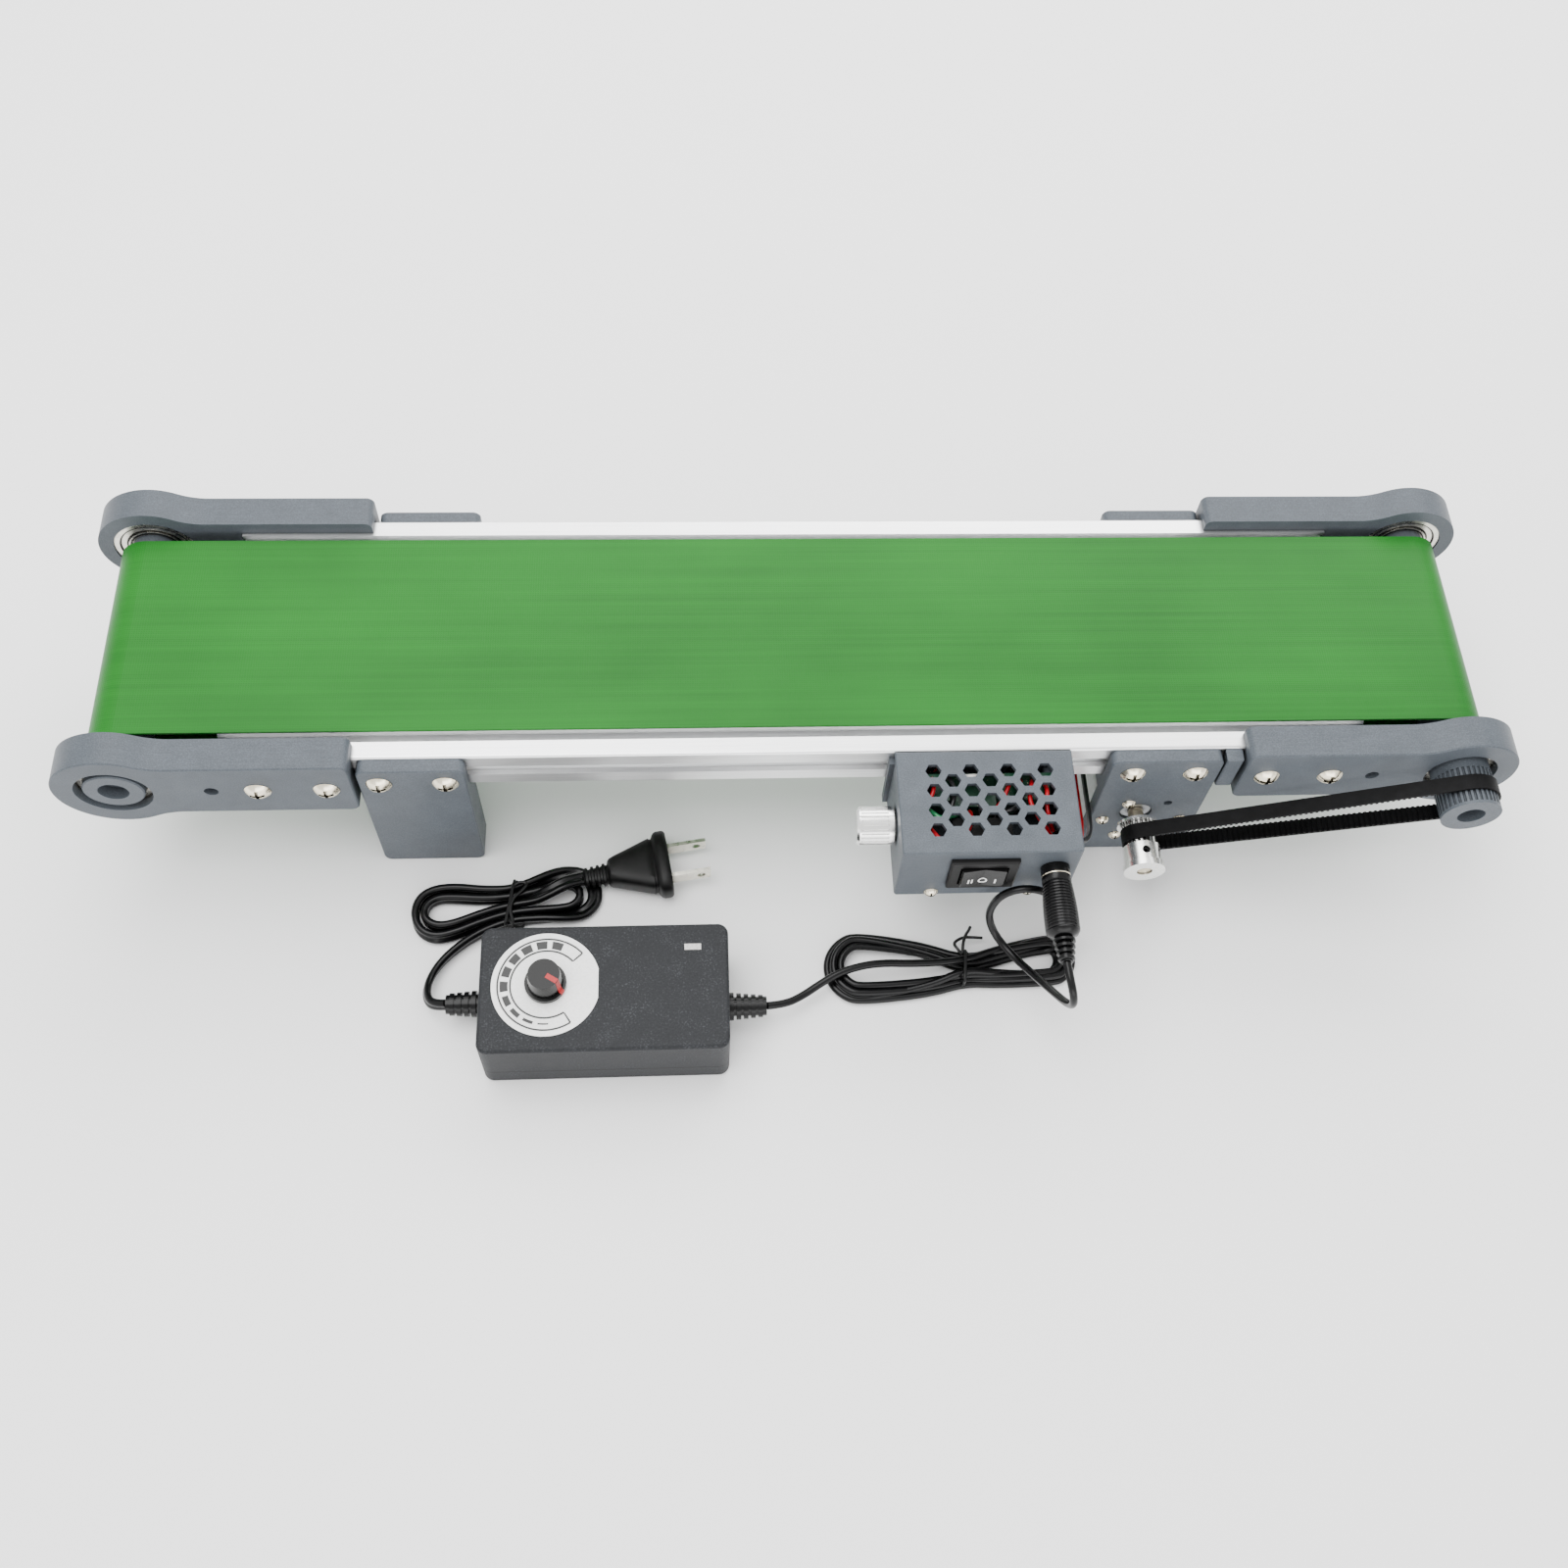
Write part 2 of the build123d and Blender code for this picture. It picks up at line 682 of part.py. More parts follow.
# ---- routes of leads and cords ----
def route_path(points):
    """Straight runs joined by arcs as large as the runs allow, with the arcs' radii."""
    runs = [Vector(*b) - Vector(*a) for a, b in zip(points, points[1:])]
    radii = []
    for before, after in zip(runs, runs[1:]):
        turn = radians(before.get_angle(after))
        radii.append(0.45 * min(before.length, after.length) / tan(turn / 2))
    return FilletPolyline(*points, radius=radii), radii, runs[0]


def tube(name, points, radius):
    path, radii, heading = route_path(points)
    profile = Plane(origin=points[0], z_dir=heading) * Circle(radius)
    body = sweep(profile, path=path)
    share = body.volume / (pi * radius**2 * path.length)
    facts = {"length": path.length, "least radius": min(radii), "share": share}
    print(name, {key: round(value, 3) for key, value in facts.items()})
    return body


def lead_route(shift):
    """A motor wire from the control box, under the front rail and along the motor to its terminal."""
    back = -rail_half + gearbox_length + can_length
    beside = motor_x - gearbox_radius - 5
    return (
        (box_right - box_wall - 3, lead_y, 46.0 + shift), (box_right + 5, lead_y, 45.0 + shift),
        (box_right + 9 + shift, lead_y + 4, 39.0 + shift), (beside + shift, lead_y + 14, 31.0 + shift),
        (beside + shift, lead_y + 30, 30.0 + shift), (beside + shift + 0.4, lead_y + 52, 29.0 + shift),
        (beside + shift, lead_y + 74, 29.5 + shift), (beside + 4 + shift, back + 6.5, 28.0 + shift),
        (terminal_places()[0] + 3 * shift, back + 8.0 - shift, motor_z + 1.5 + shift),
    )


def terminal_places():
    return motor_x - terminal_reach, motor_x + terminal_reach


# ---- control box ----
def hex_places():
    step_x = hex_pitch * cos(radians(30))
    middle_x = (box_left + box_right) / 2 + 1.4
    middle_y = -rail_half - 20.5
    for column in range(hex_columns):
        x = middle_x + (column - (hex_columns - 1) / 2) * step_x
        rows = hex_rows - 1 if column % 2 else hex_rows
        for row in range(rows):
            yield x, middle_y + (row - (rows - 1) / 2) * hex_pitch


def control_box():
    outline = block(box_left, box_right, box_front, -rail_half - 0.3, box_bottom, box_top)
    outline = fillet(outline.edges().filter_by(Axis.Z).sort_by(Axis.Y)[:2], 1.2)
    rims = [e for e in outline.edges() if abs(e.center().Z - box_top) < 0.01]
    body = chamfer(rims, edge_break)
    inside = (box_left + box_wall, box_right - box_wall, box_front + box_wall)
    body -= block(inside[0], inside[1], inside[2], 0, box_bottom - 1, box_top - box_wall)
    body -= block(box_left - 1, box_right + 1, box_back - fit, 0, box_bottom - 1, box_top - box_wall)
    for x, y in hex_places():
        hexagon = RegularPolygon(hex_flat / 2, 6, major_radius=False)
        body -= slab_z(at(x, y, hexagon), box_top - 3, box_top + 1)
    body -= rod_x(knob_y, knob_z, 3.6, box_left - 1, box_left + 3)
    body -= rod_y(jack_x, jack_z, 4.1, box_front - 1, box_front + 3)
    body -= switch_block(box_front - 1, box_front + 3, 0.1)
    body -= block(box_right - 3, box_right + 1, lead_y - lead_hole_half, lead_y + lead_hole_half, 42.4, 49.8)
    for x in box_screw_places():
        body -= rod_y(x, box_screw_z(), m3_radius + 0.2, box_front - 1, box_front + 3)
    return body


def control_box_plate():
    back = block(box_left - 1.8, box_right, box_back, -rail_half, box_bottom, box_top - 4.5)
    base = block(
        box_left + box_wall + 0.2, box_right - box_wall - 0.2,
        box_front + box_wall + 0.2, -rail_half, box_bottom + 0.2, box_bottom + 0.2 + box_floor,
    )
    body = back + base
    for x in box_mount_places():
        body -= rod_y(x, rail_axis_z, m5_radius + m5_clearance, box_back - 1, 0)
    for x in box_screw_places():
        body -= rod_y(x, box_screw_z(), m3_radius + running, box_front, box_front + 12)
    for x, z in board_posts():
        body += rod_y(x, z, 2.2, box_back, board_back())
    return body


def board_back():
    return box_back - 4.0


def board_posts():
    return (box_left + 8, 46.0), (box_right - 8, 46.0), (box_left + 8, 66.5), (box_right - 8, 66.5)


def control_board():
    back = board_back()
    return block(box_left + 5, box_right - 5, back - 1.6, back, 44.0, 69.0)


def board_parts():
    face = board_back() - 1.6
    terminal = block(box_right - 18, box_right - 8, face - 8.0, face, 56.0, 66.0)
    relay = block(box_left + 22, box_left + 38, face - 8.6, face, 50.0, 62.0)
    heat_sink = block(box_left + 14, box_left + 20, face - 8.0, face, 52.0, 66.0)
    capacitor = rod_y(box_left + 42.8, 60.0, 4.0, face - 8.8, face)
    small_capacitor = rod_y(box_left + 42.8, 50.5, 2.5, face - 6.0, face)
    return terminal, relay, heat_sink, capacitor, small_capacitor


def pot_body():
    inner = box_left + box_wall
    body = rod_x(knob_y, knob_z, 8.0, inner, inner + 8.5)
    body += rod_x(knob_y, knob_z, 3.5, box_left - 3.2, inner + 1)
    hexagon = extrude(RegularPolygon(5.0, 6, major_radius=False), 1.6)
    nut = Pos(box_left - 1.6, knob_y, knob_z) * Rot(0, 90, 0) * hexagon
    return body + nut - rod_x(knob_y, knob_z, 3.0 + running, box_left - 4, inner + 7)


def speed_knob():
    back = box_left - knob_wall_gap
    front = back - knob_length
    knob = rod_x(knob_y, knob_z, knob_radius, front, back)
    knob = chamfer([e for e in knob.edges() if abs(e.center().X - front) < 0.01], 0.9)
    knob -= rod_x(knob_y, knob_z, 6.1, back - 3.6, back + 1)
    knob -= rod_x(knob_y, knob_z, 3.0 + fit, front + 2.5, back)
    flutes = 28
    for index in range(flutes):
        turn = 2 * pi * index / flutes
        groove = (knob_y + knob_radius * cos(turn), knob_z + knob_radius * sin(turn))
        knob -= rod_x(groove[0], groove[1], 0.35, front + 1.6, back - 2.0)
    shaft = rod_x(knob_y, knob_z, 3.0, front + 3.0, box_left + box_wall + 6.5)
    return knob, shaft


def rocker_outline(half_width, grow):
    """Rocker seen from above: round ends about the pivot, a shallow V across the front."""
    reach = bezel_thickness + rocker_rise + grow
    face = [
        (-half_width, -1.2 - grow), (half_width, -1.2 - grow), (half_width, reach + 0.5),
        (0, reach - 0.6), (-half_width, reach + 0.5),
    ]
    wedge = make_face(Polyline(*face, close=True))
    return wedge & Circle(half_width)


def switch_block(front, back, grow):
    half_x = switch_width / 2 + grow
    half_z = switch_height / 2 + grow
    return block(rocker_x - half_x, rocker_x + half_x, front, back, rocker_z - half_z, rocker_z + half_z)


def switch_body():
    bezel = block(
        rocker_x - bezel_width / 2, rocker_x + bezel_width / 2, box_front - bezel_thickness, box_front,
        rocker_z - bezel_height / 2, rocker_z + bezel_height / 2,
    )
    bezel = chamfer([e for e in bezel.edges() if abs(e.center().Y - box_front + bezel_thickness) < 0.01], 0.6)
    body = bezel + switch_block(box_front, box_front + 17, 0)
    open_x = rocker_half_width + small_gap
    open_z = rocker_half_height + small_gap
    body -= block(
        rocker_x - open_x, rocker_x + open_x, box_front - bezel_thickness - 1, box_front + 4.5,
        rocker_z - open_z, rocker_z + open_z,
    )
    body -= rod_z(rocker_x, box_front, 1.0 + running, rocker_z - open_z - 1.2, rocker_z + open_z + 1.2)
    for column in (-5.5, 0, 5.5):
        for row in (-4.5, 4.5):
            x = rocker_x + column
            z = rocker_z + row
            body += block(x - 0.4, x + 0.4, box_front + 16, box_front + 22, z - 2.4, z + 2.4)
    return body


def switch_rocker():
    outline = mirror(rocker_outline(rocker_half_width, 0), about=Plane.XZ)
    solid = extrude(outline, rocker_half_height, both=True)
    body = Pos(rocker_x, box_front, rocker_z) * solid
    pin = rocker_half_height + 1.1
    return body + rod_z(rocker_x, box_front, 1.0, rocker_z - pin, rocker_z + pin)


def dc_jack():
    front = box_front - jack_collar_length
    inner = box_front + box_wall
    body = rod_y(jack_x, jack_z, jack_collar_radius, front, box_front)
    body += rod_y(jack_x, jack_z, 4.0, box_front, box_front + 13)
    bore = rod_y(jack_x, jack_z, 3.0, front - 1, box_front + 9)
    hexagon = extrude(RegularPolygon(5.3, 6, major_radius=False), 2.0)
    nut = Pos(jack_x, inner + 2.0, jack_z) * Rot(90, 0, 0) * hexagon
    nut -= rod_y(jack_x, jack_z, 4.0 + running, inner - 1, inner + 3)
    pin = rod_y(jack_x, jack_z, 1.0, front + 1.5, box_front + 10)
    return body - bore + pin, nut


def dc_plug():
    face = box_front - jack_collar_length
    grip = rod_y(jack_x, jack_z, 5.3, face - 3, face)
    grip += Pos(jack_x, face - 13, jack_z) * Rot(90, 0, 0) * Cone(5.3, 6.3, 20)
    grip += Pos(jack_x, face - 23.5, jack_z) * Rot(90, 0, 0) * Cone(6.3, 3.8, 1.5)
    relief = face - 24
    relief_end = dc_loop_route[0][1]
    cone = Cone(3.8, 2.7, relief - relief_end)
    grip += Pos(jack_x, (relief + relief_end) / 2, jack_z) * Rot(90, 0, 0) * cone
    barrel = rod_y(jack_x, jack_z, 2.75, face - 1, face + 8.5)
    return grip + barrel - rod_y(jack_x, jack_z, 1.25, face - 0.5, face + 10)


# ---- adapter ----
def adapter_block(z0, z1, inset):
    outline = Rectangle(adapter_length - 2 * inset, adapter_depth - 2 * inset)
    outline = fillet(outline.vertices(), adapter_corner - inset)
    middle = ((adapter_left + adapter_right) / 2, (adapter_front + adapter_back) / 2)
    return slab_z(at(middle[0], middle[1], outline), z0, z1)


def relief_holes():
    hole = relief_radius - 1.6
    cut = rod_x(relief_y_left, relief_z, hole, adapter_left - 1, adapter_left + 6)
    return cut + rod_x(relief_y_right, relief_z, hole, adapter_right - 6, adapter_right + 1)


def adapter_base():
    body = adapter_block(0, adapter_seam, 0)
    body = chamfer([e for e in body.edges() if abs(e.center().Z) < 0.01], 0.8)
    body -= adapter_block(adapter_wall, adapter_seam + 1, adapter_wall)
    return body - relief_holes()


def adapter_top():
    body = adapter_block(adapter_seam, adapter_height, 0)
    body = fillet([e for e in body.edges() if abs(e.center().Z - adapter_height) < 0.01], 1.4)
    body -= adapter_block(adapter_seam - 1, adapter_height - adapter_wall, adapter_wall)
    body -= rod_z(dial_x, dial_y, 3.5, adapter_height - 3, adapter_height + 1)
    body -= lamp_block(0, adapter_height - 3, adapter_height + 1)
    return body - relief_holes()


def lamp_block(inset, z0, z1):
    half_x = lamp_length / 2 - inset
    half_y = lamp_width / 2 - inset
    return block(lamp_x - half_x, lamp_x + half_x, lamp_y - half_y, lamp_y + half_y, z0, z1)


def adapter_lamp():
    return lamp_block(fit, adapter_height - adapter_wall, adapter_height + 0.2)


def adapter_board():
    middle_y = (adapter_front + adapter_back) / 2
    board = block(adapter_left + 5, adapter_right - 5, adapter_front + 5, adapter_back - 5, 5.0, 6.6)
    for x in (adapter_left + 12, adapter_right - 12):
        for y in (middle_y - 14, middle_y + 14):
            board += rod_z(x, y, 2.5, adapter_wall, 5.5)
    transformer = block(-70, -50, middle_y - 10, middle_y + 10, 6.6, 24.0)
    capacitor = rod_z(-110, middle_y + 12, 5.5, 6.6, 24.0)
    pot = rod_z(dial_x, dial_y, 8.0, 18.0, adapter_height - adapter_wall)
    pot += rod_z(dial_x, dial_y, 5.0, 6.6, 18.5)
    pot -= rod_z(dial_x, dial_y, 2.0 + running, 20.0, adapter_height)
    return board, transformer, capacitor, pot


def adapter_dial():
    disc = Circle(dial_radius) - at(dial_chord + dial_radius, 0, Rectangle(2 * dial_radius, 3 * dial_radius))
    return slab_z(at(dial_x, dial_y, disc - Circle(3.5)), adapter_height, adapter_height + dial_thickness)


def adapter_knob():
    low = adapter_height + dial_thickness + small_gap
    grip_height = adapter_knob_height - 1.5
    skirt = rod_z(dial_x, dial_y, adapter_knob_radius, low, low + 2.0)
    grip = Pos(dial_x, dial_y, low + 1.5 + grip_height / 2) * Cone(6.6, 5.8, grip_height)
    return skirt + grip + rod_z(dial_x, dial_y, 2.0, 21.0, low + 1)


def strain_relief(end):
    """Ribbed sleeve of a lead: end is -1 at the adapter's mains side and 1 at its output side."""
    wall = adapter_left if end < 0 else adapter_right
    y = relief_y_left if end < 0 else relief_y_right
    tip = wall + end * relief_length
    inner = wall - end * 5.0
    body = rod_x(y, relief_z, relief_radius - 1.6 - fit, min(inner, tip), max(inner, tip))
    ribs = 5
    rib_width = 1.7
    for index in range(ribs):
        start = wall + end * (0.2 + index * (relief_length - 0.6) / ribs)
        radius = relief_radius - 0.25 * index
        stop = start + end * rib_width
        body += rod_x(y, relief_z, radius, min(start, stop), max(start, stop))
    return body


# ---- cords ----
def hank(ends, height):
    (x0, y0, r0), (x1, y1, r1) = ends
    body = slab_z(band(x0, y0, r0, x1, y1, r1), 0.1, height)
    return fillet([e for e in body.edges() if abs(e.center().Z - height) < 0.01], 2.2)


def tie(x, y, half_width, turn, held):
    loop = Box(2.2, 2 * half_width + 2.0, hank_height + 1.0)
    return Pos(x, y, hank_height / 2 + 0.6) * Rot(0, 0, turn) * loop - held


def plug_place():
    return Pos(ac_plug_face[0], ac_plug_face[1], ac_plug_height / 2 + 0.1) * Rot(0, 0, ac_plug_turn)


def ac_plug():
    back = ac_plug_length
    outline = [
        (0, ac_plug_width / 2), (-4.5, ac_plug_width / 2), (-6.0, ac_plug_width / 2 - 2.5), (-13.0, 8.8),
        (-back, 5.2),
    ]
    mirrored = [(x, -y) for x, y in reversed(outline)]
    plan = make_face(Polyline(*outline, *mirrored, close=True))
    body = extrude(plan, 5.4, both=True)
    flange = Pos(-2.3, 0, 0) * Box(4.6, ac_plug_width, ac_plug_height)
    body += fillet(flange.edges().filter_by(Axis.X), 4.0)
    relief = Pos(-back - ac_plug_relief / 2, 0, -1.0) * Box(ac_plug_relief, 7.0, 5.0)
    body = plug_place() * (body + relief)
    for blade in ac_plug_blades():
        body -= blade
    return body


def ac_plug_blades():
    blades = []
    for side in (-1, 1):
        blade = Pos(blade_length / 2 - 2, side * blade_spacing / 2, 0)
        solid = blade * Box(blade_length + 4, blade_thickness, blade_width)
        hole = Pos(blade_length - 3.8, side * blade_spacing / 2, 0) * Rot(90, 0, 0) * Cylinder(1.6, 4)
        blades.append(plug_place() * (solid - hole))
    return blades


os.makedirs("parts", exist_ok=True)

save("front_rail", rail(-1))
save("back_rail", rail(1))
save("bed_plate", bed_plate())
save("conveyor_belt", conveyor_belt())
for end_name, end in (("left", -1), ("right", 1)):
    for side_name, side in (("front", -1), ("back", 1)):
        save(side_name + "_" + end_name + "_bracket", bracket(end, side))

save("bearing_outer_rings", *[bearing_outer(x, side) for x, side in bearing_places()])
save("bearing_shields", *[s for x, side in bearing_places() for s in bearing_shields_at(x, side)])
save("bearing_balls", *[b for x, side in bearing_places() for b in bearing_balls_at(x, side)])
for name, x in (("tail", -half_spacing), ("drive", half_spacing)):
    save(name + "_inner_rings", bearing_inner(x, -1), bearing_inner(x, 1))
    save(name + "_drum", roller_drum(x))
    save(name + "_axle", roller_axle(x))
save("tail_collars", roller_collar(-half_spacing, -1), roller_collar(-half_spacing, 1))
save("drive_collar", roller_collar(half_spacing, 1))
save("drive_pulley", drive_pulley())

save("front_left_foot", foot(foot_centre_left, -1, foot_width))
save("back_left_foot", foot(foot_centre_left, 1, foot_width))
save("back_right_foot", foot(foot_centre_right, 1, foot_width))
save("motor_plate", motor_plate())
save("rail_spacer", rail_spacer())
save("m5_screws", *[m5_screw(x, side, face) for x, side, face in screw_places()])
save("slot_nuts", *[slot_nut(x, side) for x, side, face in screw_places()])
save("m3_screws", *m3_screws())

save("motor_gearbox", motor_gearbox())
save("motor_can", motor_can())
save("motor_shaft", motor_shaft())
save("motor_pulley", motor_pulley())
save("motor_set_screw", motor_set_screw())
save("timing_belt", timing_belt())
save("motor_leads", *[tube("motor lead", lead_route(shift), lead_wire_radius) for shift in (-1.4, 1.4)])

save("control_box", control_box())
save("control_box_plate", control_box_plate())
save("control_board", control_board())
save("board_parts", *board_parts())
save("pot_body", pot_body())
save("speed_knob", *speed_knob())
save("switch_body", switch_body())
save("switch_rocker", switch_rocker())
save("dc_jack", *dc_jack())

save("adapter_base", adapter_base())
save("adapter_top", adapter_top())
save("adapter_board", *adapter_board())
save("adapter_dial", adapter_dial())
save("adapter_knob", adapter_knob())
save("adapter_lamp", adapter_lamp())
save("adapter_strain_reliefs", strain_relief(-1), strain_relief(1))

output_hank = hank(dc_hank, hank_height)
mains_hank = hank(ac_hank, hank_height) - ac_plug()
plug = dc_plug()
save("dc_plug", plug)
save("dc_cord_hank", output_hank)
save("dc_cord_lead", tube("output cord lead", dc_lead_route, dc_radius) - output_hank - strain_relief(1))
save("dc_cord_loop", tube("output cord loop", dc_loop_route, dc_radius) - output_hank - plug)
save("ac_cord_lead", tube("mains cord lead", ac_lead_route, ac_radius) - mains_hank - strain_relief(-1))
save("ac_cord_hank", mains_hank)
save("ac_plug", ac_plug())
save("ac_plug_blades", *ac_plug_blades())
save("cord_ties", tie(63.0, -106.2, 12.5, 3.4, output_hank), tie(-113.0, -79.7, 9.9, 8.8, mains_hank))
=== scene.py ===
from math import cos, pi, radians, sin

import bmesh
import bpy
from mathutils import Matrix, Vector


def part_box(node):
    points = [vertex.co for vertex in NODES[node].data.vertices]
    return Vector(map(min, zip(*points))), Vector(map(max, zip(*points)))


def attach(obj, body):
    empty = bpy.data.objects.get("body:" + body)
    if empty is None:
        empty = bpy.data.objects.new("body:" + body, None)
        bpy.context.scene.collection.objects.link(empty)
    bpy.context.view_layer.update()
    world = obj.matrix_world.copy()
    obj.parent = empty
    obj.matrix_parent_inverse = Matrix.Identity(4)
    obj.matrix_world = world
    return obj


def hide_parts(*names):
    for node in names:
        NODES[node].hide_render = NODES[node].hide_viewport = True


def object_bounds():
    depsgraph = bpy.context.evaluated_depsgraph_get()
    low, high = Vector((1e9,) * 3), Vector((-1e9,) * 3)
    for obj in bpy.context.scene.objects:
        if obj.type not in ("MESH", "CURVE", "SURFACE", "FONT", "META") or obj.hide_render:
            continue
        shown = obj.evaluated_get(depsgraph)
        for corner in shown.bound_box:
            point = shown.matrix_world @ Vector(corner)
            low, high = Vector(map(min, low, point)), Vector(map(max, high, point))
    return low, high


# Looks of a desktop belt conveyor section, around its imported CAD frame. Metres, +Z up. Places are
# given in millimetres from the belt's middle line, as the CAD source has them, and point() turns
# them into the frame's metres.

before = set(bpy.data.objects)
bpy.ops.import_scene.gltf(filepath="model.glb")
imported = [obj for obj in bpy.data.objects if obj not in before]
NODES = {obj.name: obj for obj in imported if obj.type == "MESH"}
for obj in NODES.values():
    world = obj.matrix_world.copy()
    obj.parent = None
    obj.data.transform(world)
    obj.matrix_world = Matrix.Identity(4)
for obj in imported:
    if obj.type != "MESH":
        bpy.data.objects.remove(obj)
cad_low, cad_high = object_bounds()
MM = 0.001
ROOT = "conveyor_frame"


def middle(node):
    low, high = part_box(node)
    return (low + high) / 2


BELT_Y = middle("conveyor_belt").y


def point(x, y, z):
    return Vector((x * MM, y * MM + BELT_Y, z * MM))


# ---- materials ----
class Look:
    """A node material built around one Principled shader; sizes are in millimetres."""

    def __init__(self, name, color, roughness, **sockets):
        self.material = bpy.data.materials.new(name)
        self.material.use_nodes = True
        self.tree = self.material.node_tree
        self.shader = self.tree.nodes["Principled BSDF"]
        self.set("Base Color", (*color, 1.0))
        self.set("Roughness", roughness)
        for socket, value in sockets.items():
            self.set(socket.replace("_", " "), value)
        self.place = self.node("ShaderNodeTexCoord").outputs["Object"]

    def set(self, socket, value):
        self.shader.inputs[socket].default_value = value

    def node(self, kind, **settings):
        made = self.tree.nodes.new(kind)
        for name, value in settings.items():
            setattr(made, name, value)
        return made

    def link(self, output, target):
        self.tree.links.new(output, target)

    def scaled(self, size, stretch=(1, 1, 1)):
        mapping = self.node("ShaderNodeMapping")
        self.link(self.place, mapping.inputs["Vector"])
        mapping.inputs["Scale"].default_value = [1 / (size * MM * s) for s in stretch]
        return mapping.outputs["Vector"]

    def noise(self, size, stretch=(1, 1, 1), detail=3.0, roughness=0.5):
        made = self.node("ShaderNodeTexNoise")
        self.link(self.scaled(size, stretch), made.inputs["Vector"])
        made.inputs["Scale"].default_value = 1.0
        made.inputs["Detail"].default_value = detail
        made.inputs["Roughness"].default_value = roughness
        return made.outputs["Fac"]

    def cells(self, size):
        made = self.node("ShaderNodeTexVoronoi")
        self.link(self.scaled(size), made.inputs["Vector"])
        made.inputs["Scale"].default_value = 1.0
        return made.outputs["Distance"]

    def bands(self, size, axis, distortion=0.0):
        made = self.node("ShaderNodeTexWave", wave_type="BANDS", bands_direction=axis)
        self.link(self.scaled(size), made.inputs["Vector"])
        made.inputs["Scale"].default_value = 1.0 / pi
        made.inputs["Distortion"].default_value = distortion
        return made.outputs["Fac"]

    def ranged(self, value, low, high, start=0.0, stop=1.0):
        made = self.node("ShaderNodeMapRange")
        self.link(value, made.inputs["Value"])
        made.inputs["From Min"].default_value = start
        made.inputs["From Max"].default_value = stop
        made.inputs["To Min"].default_value = low
        made.inputs["To Max"].default_value = high
        return made.outputs["Result"]

    def feed(self, value, target):
        """Link an output to a socket, or set a plain number or colour on it."""
        if isinstance(value, bpy.types.NodeSocket):
            self.link(value, target)
        else:
            target.default_value = (*value, 1.0) if isinstance(value, tuple) else value

    def joined(self, kind, a, b=0.0):
        made = self.node("ShaderNodeMath", operation=kind)
        self.link(a, made.inputs[0])
        self.feed(b, made.inputs[1])
        return made.outputs["Value"]

    def coordinate(self, axis):
        parts = self.node("ShaderNodeSeparateXYZ")
        self.link(self.place, parts.inputs["Vector"])
        return parts.outputs[axis]

    def painted_shade_line(self, value, place, inner, outer, dark, color):
        """The colour, with a dark line of painted shade where the value is within outer of a place.
        """
        away = self.joined("ABSOLUTE", self.joined("SUBTRACT", value, place))
        return self.mixed(self.ranged(away, 1.0, 0.0, inner, outer), color, dark)

    def tint(self, value, *stops):
        """Base colour from a value, by stops of (place, colour)."""
        ramp = self.node("ShaderNodeValToRGB")
        self.link(value, ramp.inputs["Fac"])
        elements = ramp.color_ramp.elements
        while len(elements) < len(stops):
            elements.new(0.5)
        for element, (place, color) in zip(elements, stops):
            element.position = place
            element.color = (*color, 1.0)
        return ramp.outputs["Color"]

    def mixed(self, factor, a, b):
        made = self.node("ShaderNodeMix", data_type="RGBA")
        self.link(factor, made.inputs["Factor"])
        for socket, value in (("A", a), ("B", b)):
            target = [i for i in made.inputs if i.name == socket and i.type == "RGBA"][0]
            self.feed(value, target)
        return [o for o in made.outputs if o.type == "RGBA"][0]

    def bearing_radius(self):
        """Distance from the nearer roller's axis, in millimetres."""
        axis = middle("drive_axle")
        along = self.joined("SUBTRACT", self.joined("ABSOLUTE", self.coordinate("X")), axis.x)
        up = self.joined("SUBTRACT", self.coordinate("Z"), axis.z)
        squares = [self.joined("MULTIPLY", side, side) for side in (along, up)]
        return self.joined("DIVIDE", self.joined("SQRT", self.joined("ADD", *squares)), MM)

    def painted_recess_shade(self, color, dark, reach, start, stop):
        """The colour, going to dark in recesses and corners closer than reach, as painted shade."""
        made = self.node("ShaderNodeAmbientOcclusion", samples=8)
        made.inputs["Distance"].default_value = reach * MM
        return self.mixed(self.ranged(made.outputs["AO"], 0.0, 1.0, start, stop), dark, color)

    def color(self, output):
        self.link(output, self.shader.inputs["Base Color"])

    def rough(self, value, low, high):
        self.link(self.ranged(value, low, high), self.shader.inputs["Roughness"])

    def bump(self, *layers):
        """Each layer is a height value and its depth in millimetres."""
        last = None
        for value, depth in layers:
            made = self.node("ShaderNodeBump")
            self.link(value, made.inputs["Height"])
            made.inputs["Distance"].default_value = depth * MM
            if last:
                self.link(last, made.inputs["Normal"])
            last = made.outputs["Normal"]
        self.link(last, self.shader.inputs["Normal"])


def shade(color, factor):
    return tuple(min(1.0, c * factor) for c in color)


SLATE = (0.070, 0.081, 0.094)


